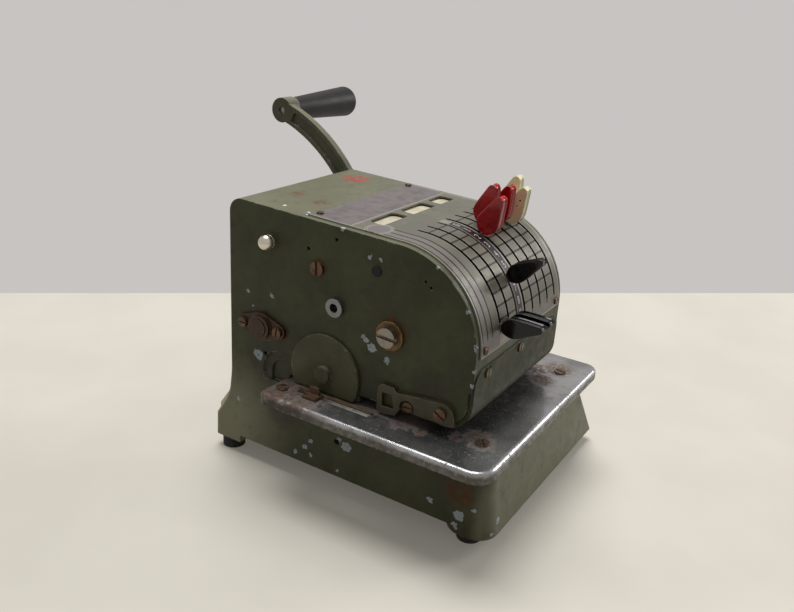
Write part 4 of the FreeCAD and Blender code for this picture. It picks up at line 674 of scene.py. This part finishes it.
def card():
    """The pale card behind the windows: yellowed, with soft stains and faint fibres."""
    f = Finish("window_card_paper")
    fibre = f.noise(0.9, detail=4, stretch=(4, 1, 1))
    stain = f.noise(7, detail=4)
    colour = f.mix(f.fade(stain, 0.35, 0.7), paint(222, 214, 190), paint(198, 188, 160))
    colour = f.mix(f.scaled(f.fade(fibre, 0.5, 0.75), 0.3), colour, paint(214, 206, 178))
    f.set(Base_Color=colour, Roughness=0.62)
    f.relief(f.scaled(fibre, 0.02))
    return f.material


def felt():
    """Inked felt on the roller: nearly black with a purple cast, and a short nap."""
    f = Finish("ink_felt")
    nap = f.noise(0.35, detail=3)
    wet = f.noise(5, detail=3)
    colour = f.mix(f.fade(wet, 0.4, 0.7), paint(34, 26, 44), paint(22, 20, 28))
    f.set(Base_Color=colour, Roughness=0.9)
    f.surface.inputs["Sheen Weight"].default_value = 0.3
    f.relief(f.scaled(nap, 0.12))
    return f.material


def tan_strip():
    """The brown fibre strip on the table."""
    f = Finish("tan_strip")
    fibre = f.noise(0.7, detail=4, stretch=(1, 6, 1))
    colour = f.mix(f.fade(fibre, 0.35, 0.7), paint(112, 92, 64), paint(76, 58, 40))
    f.set(Base_Color=colour, Roughness=0.66)
    rounded, _ = f.edges(0.4)
    f.relief(f.scaled(fibre, 0.04), rounded)
    return f.material


def printed_digit():
    """Pale worn ink of the row digits."""
    f = Finish("digit_ink")
    worn = f.noise(0.9, detail=4)
    colour = f.mix(f.fade(worn, 0.5, 0.75), paint(232, 224, 224), paint(188, 170, 174))
    f.set(Base_Color=colour, Roughness=0.45)
    f.relief(f.scaled(worn, 0.01))
    return f.material


# ---------------------------------------------------------------- pieces

KNOB_BASE = 50.7
KNOB_TIP = 73.3
KNOB_HALF = 3.05
# Half of a finger piece's breadth at shares of its height.
KNOB_BREADTHS = [
    (0.00, 2.0),
    (0.05, 3.3),
    (0.12, 4.9),
    (0.21, 6.2),
    (0.30, 6.5),
    (0.44, 5.9),
    (0.60, 4.8),
    (0.75, 3.7),
    (0.87, 2.9),
    (0.95, 2.3),
    (1.00, 1.3),
]
# The black finger pieces are slimmer than the others: their share of the breadth.
BLACK_FULLNESS = 0.80
# The printed digits, mm: size of the type, its width against the font's own, half the ink's
# thickness and how far its middle stands off the plate.
DIGIT_SIZE = 6.0
DIGIT_SQUEEZE = 0.80
INK_HALF = 0.02
INK_LIFT = 0.045


def knob_section(breadth, height, share):
    """The ring of points round a finger piece at a height: flat sides, a shallow channel down each edge."""
    channel = 0.75 * min(1.0, 3.4 * share + 0.2)
    tip_dip = 0.85 * max(0.0, (share - 0.86) / 0.14)
    corner = [
        (max(breadth - 1.9, 0.0), KNOB_HALF),
        (max(breadth - 0.5, 0.0), KNOB_HALF - 0.02),
        (max(breadth - 0.08, 0.3), KNOB_HALF - 0.25),
        (max(breadth, 0.4), KNOB_HALF - 0.65),
        (max(breadth - channel * 0.8, 0.3), KNOB_HALF - 1.7),
    ]
    middle = (max(breadth - channel, 0.25), 0.0)
    front = corner + [middle] + [(along, -across) for along, across in reversed(corner)]
    back = [(-along, across) for along, across in reversed(front)]
    ring = front + back
    points = []
    for along, across in ring:
        dip = tip_dip * (1 - (across / KNOB_HALF) ** 2)
        points.append((across, along, height - dip))
    return points


def finger_piece(index, material, fullness):
    """A moulded finger piece on lever number index + 1, sculpted in place. Fullness scales its breadth."""
    mesh = bmesh.new()
    rings = []
    for share, breadth in KNOB_BREADTHS:
        height = KNOB_BASE + (KNOB_TIP - KNOB_BASE) * share
        ring = [mesh.verts.new(point) for point in knob_section(breadth * fullness, height, share)]
        rings.append(ring)
    for low, high in zip(rings, rings[1:]):
        for spot in range(len(low)):
            after = (spot + 1) % len(low)
            mesh.faces.new((low[spot], low[after], high[after], high[spot]))
    mesh.faces.new(list(reversed(rings[0])))
    top = rings[-1]
    count = len(top)
    for spot in range(count // 2 - 1):
        mesh.faces.new((top[spot], top[spot + 1], top[count - 2 - spot], top[count - 1 - spot]))
    bmesh.ops.recalc_face_normals(mesh, faces=mesh.faces)
    lean = Matrix.Rotation(math.radians(90 - LEVER_REST[index]), 4, "X")
    to_drum = Matrix.Translation((FIRST_SLOT + SLOT_PITCH * index, DRUM_Y, DRUM_Z))
    to_frame = Matrix.Scale(0.001, 4) @ Matrix.Translation(HEAD_CORNER)
    mesh.transform(to_frame @ to_drum @ lean)
    name = f"finger_piece_{index + 1}"
    data = bpy.data.meshes.new(name)
    mesh.to_mesh(data)
    mesh.free()
    for polygon in data.polygons:
        polygon.use_smooth = True
    piece = bpy.data.objects.new(name, data)
    bpy.context.scene.collection.objects.link(piece)
    smooth = piece.modifiers.new("smooth", "SUBSURF")
    smooth.levels = 2
    smooth.render_levels = 2
    data.materials.append(material)
    return piece


def row_digit(number, material):
    """One printed digit, bent onto the drum in the column between the third and fourth levers."""
    text = bpy.data.curves.new(f"row_digit_{number}", "FONT")
    text.body = str(number)
    text.size = DIGIT_SIZE
    text.align_x = "CENTER"
    text.align_y = "CENTER"
    text.extrude = INK_HALF
    text.resolution_u = 4
    holder = bpy.data.objects.new(text.name, text)
    bpy.context.scene.collection.objects.link(holder)
    bpy.context.view_layer.update()
    data = bpy.data.meshes.new_from_object(holder.evaluated_get(bpy.context.evaluated_depsgraph_get()))
    bpy.data.objects.remove(holder)
    middle = sum(DIGIT_COLUMN) / 2
    row = ZERO_ROW_ANGLE - ROW_ANGLE * number
    for vertex in data.vertices:
        across, up, out = vertex.co
        angle = math.radians(row) + up / PLATE_RADIUS
        radius = PLATE_RADIUS + INK_LIFT + out
        vertex.co = metres(
            middle + across * DIGIT_SQUEEZE,
            DRUM_Y - radius * math.cos(angle),
            DRUM_Z + radius * math.sin(angle),
        )
    piece = bpy.data.objects.new(f"row_digit_{number}", data)
    bpy.context.scene.collection.objects.link(piece)
    data.materials.clear()
    data.materials.append(material)
    return piece


def add_finger_pieces():
    """Black finger pieces on the first three levers, red on the next three, cream on the last two."""
    red = finger_plastic("red_plastic", paint(196, 8, 20), paint(160, 4, 12), dirt=0.10)
    black = finger_plastic("black_plastic", paint(7, 7, 8), paint(4, 4, 5), dirt=0.02, ior=1.4)
    cream = finger_plastic(
        "cream_plastic", paint(255, 248, 206), paint(253, 234, 182), dirt=0.05,
        pits=[(81.7, -135.6, 170.2, 0.5), (81.7, -134.0, 167.0, 0.35)])
    for index in range(SLOT_COUNT):
        material = black if index < 3 else red if index < 6 else cream
        piece = finger_piece(index, material, BLACK_FULLNESS if index < 3 else 1.0)
        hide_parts(f"lever_knob_{index + 1}")
        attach(piece, f"lever_{index + 1}")


def add_row_digits():
    ink = printed_digit()
    for number in range(10):
        piece = row_digit(number, ink)
        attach(piece, "frame")


# ---------------------------------------------------------------- which finish goes where

def dress(material, *names):
    """Gives CAD nodes a material in place of their plain one."""
    for name in names:
        slots = NODES[name].data.materials
        slots.clear()
        slots.append(material)


def dress_model():
    marks = (PRIMER_CHIPS, RUSTY_PLACES, OIL_PLACES, RED_MARK)
    body_enamel = enamel("casting_enamel", OLIVE, *marks, wear=0.7)
    dress(body_enamel, "main_casting", "rear_panel")
    # The front cover gets the shaded copy of the olive: painted shade.
    dress(enamel("cover_enamel", OLIVE_SHADED, wear=0.5, gloss=(0.48, 0.64)), "front_cover")
    dress(enamel("ink_cover_enamel", (paint(84, 83, 60), paint(104, 102, 76)), wear=0.6), "ink_cover")
    dress(enamel("arm_enamel", OLIVE_PALE, wear=0.7), "crank_arm")
    dress(bronzed("flange_iron", paint(66, 48, 36), paint(110, 88, 62)), "bearing_flanges", "crank_shaft")
    dress(bronzed("bracket_bronze", paint(72, 70, 50), paint(158, 136, 92), 0.25), "guide_bracket")
    dress(scale_metal(), "scale_plate")
    dress(table_steel(), "table_plate")
    dress(rusted_steel("old_steel", paint(104, 84, 66)), "flange_screws", "side_screws", "bracket_screws")
    dress(rusted_steel("table_screw_steel", paint(122, 104, 86)), "table_screws", "gauge_slide")
    dress(rusted_steel("small_screw_steel", paint(128, 104, 82)), "scale_plate_screws")
    dress(rusted_steel("cover_screw_steel", paint(104, 98, 72)), "front_cover_screws", "rear_panel_screws")
    dress(bright_metal("axle_screw_steel", paint(136, 130, 120), 0.28), "shaft_screws", "crank_screw")
    dress(bronzed("axle_washer_brass", paint(112, 88, 58), paint(176, 150, 104), 0.7), "shaft_washers")
    dress(bright_metal("nut_nickel", paint(214, 208, 192)), "tie_nuts")
    dress(bright_metal("bush_steel", paint(124, 128, 128), 0.34), "ring_bushes")
    dress(inner_steel("lever_steel", paint(150, 150, 146)), *[f"digit_lever_{n}" for n in range(1, 9)])
    shaft_steel = inner_steel("shaft_steel", paint(140, 140, 136))
    dress(shaft_steel, "lever_shaft", "lever_spacers", "tie_rod", "lift_cam", "rocker_shaft")
    dress(shaft_steel, "platen_rocker", "follower_roller", "ink_spindle", "grip_pin")
    dress(inner_steel("spring_steel", paint(70, 76, 92)), "detent_comb", "return_spring")
    dress(rubber(), "rubber_feet", "platen_bar", "hole_plug")
    dress(grip_plastic(), "crank_grip")
    dress(card(), "window_card")
    dress(felt(), "ink_roller")
    dress(tan_strip(), "guide_strip")
    add_finger_pieces()
    add_row_digits()


# ---------------------------------------------------------------- stage, light, camera

WALL = paint(199, 196, 194)
FLOOR = paint(228, 222, 209)
FLOOR_CLOUD = paint(221, 215, 202)
BOUNCE = paint(96, 95, 90)
# Two points of the line where the floor ends and the wall begins, and how far the floor reaches, metres.
SEAM_A = Vector((-0.0148, 0.3913, 0.0))
SEAM_B = Vector((0.4917, -0.1838, 0.0))
FLOOR_REACH = 5.0
# The floor's own light towards the camera, which keeps its shadows light, and the share by which
# its paint is darkened to make up for it.
FLOOR_GLOW = 0.14
FLOOR_DARKENING = 0.14
# The room's light from all round.
AMBIENT = 0.20
# Where the lamps point, near the machine's middle, metres.
LAMP_AIM = Vector((0.0, 0.0, 0.09))


def light_path(tree):
    """1 for what the camera sees directly, in a mirror surface or through glass."""
    path = tree.nodes.new("ShaderNodeLightPath")
    first = tree.nodes.new("ShaderNodeMath")
    first.operation = "MAXIMUM"
    tree.links.new(path.outputs["Is Camera Ray"], first.inputs[0])
    tree.links.new(path.outputs["Is Glossy Ray"], first.inputs[1])
    second = tree.nodes.new("ShaderNodeMath")
    second.operation = "MAXIMUM"
    tree.links.new(first.outputs[0], second.inputs[0])
    tree.links.new(path.outputs["Is Transmission Ray"], second.inputs[1])
    return second.outputs[0]


def add_floor():
    along = (SEAM_B - SEAM_A).normalized()
    towards = Vector((along.y, -along.x, 0.0))
    if towards.dot(-SEAM_A) < 0:
        towards = -towards
    middle = (SEAM_A + SEAM_B) / 2
    corners = [
        middle + along * FLOOR_REACH,
        middle - along * FLOOR_REACH,
        middle - along * FLOOR_REACH + towards * FLOOR_REACH,
        middle + along * FLOOR_REACH + towards * FLOOR_REACH,
    ]
    data = bpy.data.meshes.new("floor")
    data.from_pydata([tuple(corner) for corner in corners], [], [(0, 1, 2, 3)])
    floor = bpy.data.objects.new("floor", data)
    bpy.context.scene.collection.objects.link(floor)
    f = Finish("floor_board", roughness=0.55)
    cloud = f.noise(120, detail=3)
    pale = f.mix(f.fade(cloud, 0.3, 0.7), FLOOR, FLOOR_CLOUD)
    seen = light_path(f.tree)
    f.set(Base_Color=f.mix(seen, BOUNCE, f.mix(FLOOR_DARKENING, pale, PRINT_AND_SHADE_BLACK)))
    f.set(Emission_Color=f.mix(seen, (0.0, 0.0, 0.0, 1.0), pale), Emission_Strength=FLOOR_GLOW)
    data.materials.append(f.material)


def add_world(ambient):
    world = bpy.data.worlds.new("room")
    bpy.context.scene.world = world
    world.use_nodes = True
    tree = world.node_tree
    background = tree.nodes["Background"]
    mix = tree.nodes.new("ShaderNodeMix")
    mix.data_type = "RGBA"
    tree.links.new(light_path(tree), mix.inputs[0])
    mix.inputs[6].default_value = (ambient, ambient, ambient, 1.0)
    mix.inputs[7].default_value = WALL
    tree.links.new(mix.outputs[2], background.inputs["Color"])


def add_lamp(name, direction, distance, size, level):
    """A soft lamp aimed at the machine. Level 1 lights a surface facing it as its colour is written."""
    data = bpy.data.lights.new(name, "AREA")
    data.shape = "DISK"
    data.size = size
    data.energy = level * math.pi ** 2 * distance ** 2
    lamp = bpy.data.objects.new(name, data)
    towards = Vector(direction).normalized()
    lamp.location = LAMP_AIM + towards * distance
    lamp.rotation_mode = "QUATERNION"
    lamp.rotation_quaternion = towards.to_track_quat("Z", "Y")
    bpy.context.scene.collection.objects.link(lamp)


CAMERA_PLACE = Vector((-0.4147, -0.2522, 0.2773))
CAMERA_AZIMUTH = math.radians(-59.13)
CAMERA_ELEVATION = math.radians(21.49)
CAMERA_ROLL = math.radians(3.73)
CAMERA_LENS = 37.75


def add_camera():
    data = bpy.data.cameras.new("view_camera")
    data.sensor_width = 36.0
    data.lens = CAMERA_LENS
    data.clip_start = 0.01
    camera = bpy.data.objects.new("view_camera", data)
    level = math.cos(CAMERA_ELEVATION)
    back = Vector((
        math.sin(CAMERA_AZIMUTH) * level,
        -math.cos(CAMERA_AZIMUTH) * level,
        math.sin(CAMERA_ELEVATION),
    ))
    right = (-back).cross(Vector((0, 0, 1))).normalized()
    up = right.cross(-back)
    across = right * math.cos(CAMERA_ROLL) + up * math.sin(CAMERA_ROLL)
    upwards = up * math.cos(CAMERA_ROLL) - right * math.sin(CAMERA_ROLL)
    turn = Matrix((across, upwards, back)).transposed()
    camera.matrix_world = Matrix.Translation(CAMERA_PLACE) @ turn.to_4x4()
    bpy.context.scene.collection.objects.link(camera)
    bpy.context.scene.camera = camera


def set_stage():
    bpy.context.scene.view_settings.view_transform = "Standard"
    add_floor()
    add_world(AMBIENT)
    add_lamp("overhead_softbox", (0.09, 0.16, 1.0), distance=2.6, size=1.7, level=0.82)
    add_lamp("front_right_softbox", (0.75, -0.52, 0.40), distance=2.2, size=0.8, level=0.26)
    add_camera()


dress_model()
set_stage()

bpy.context.view_layer.update()
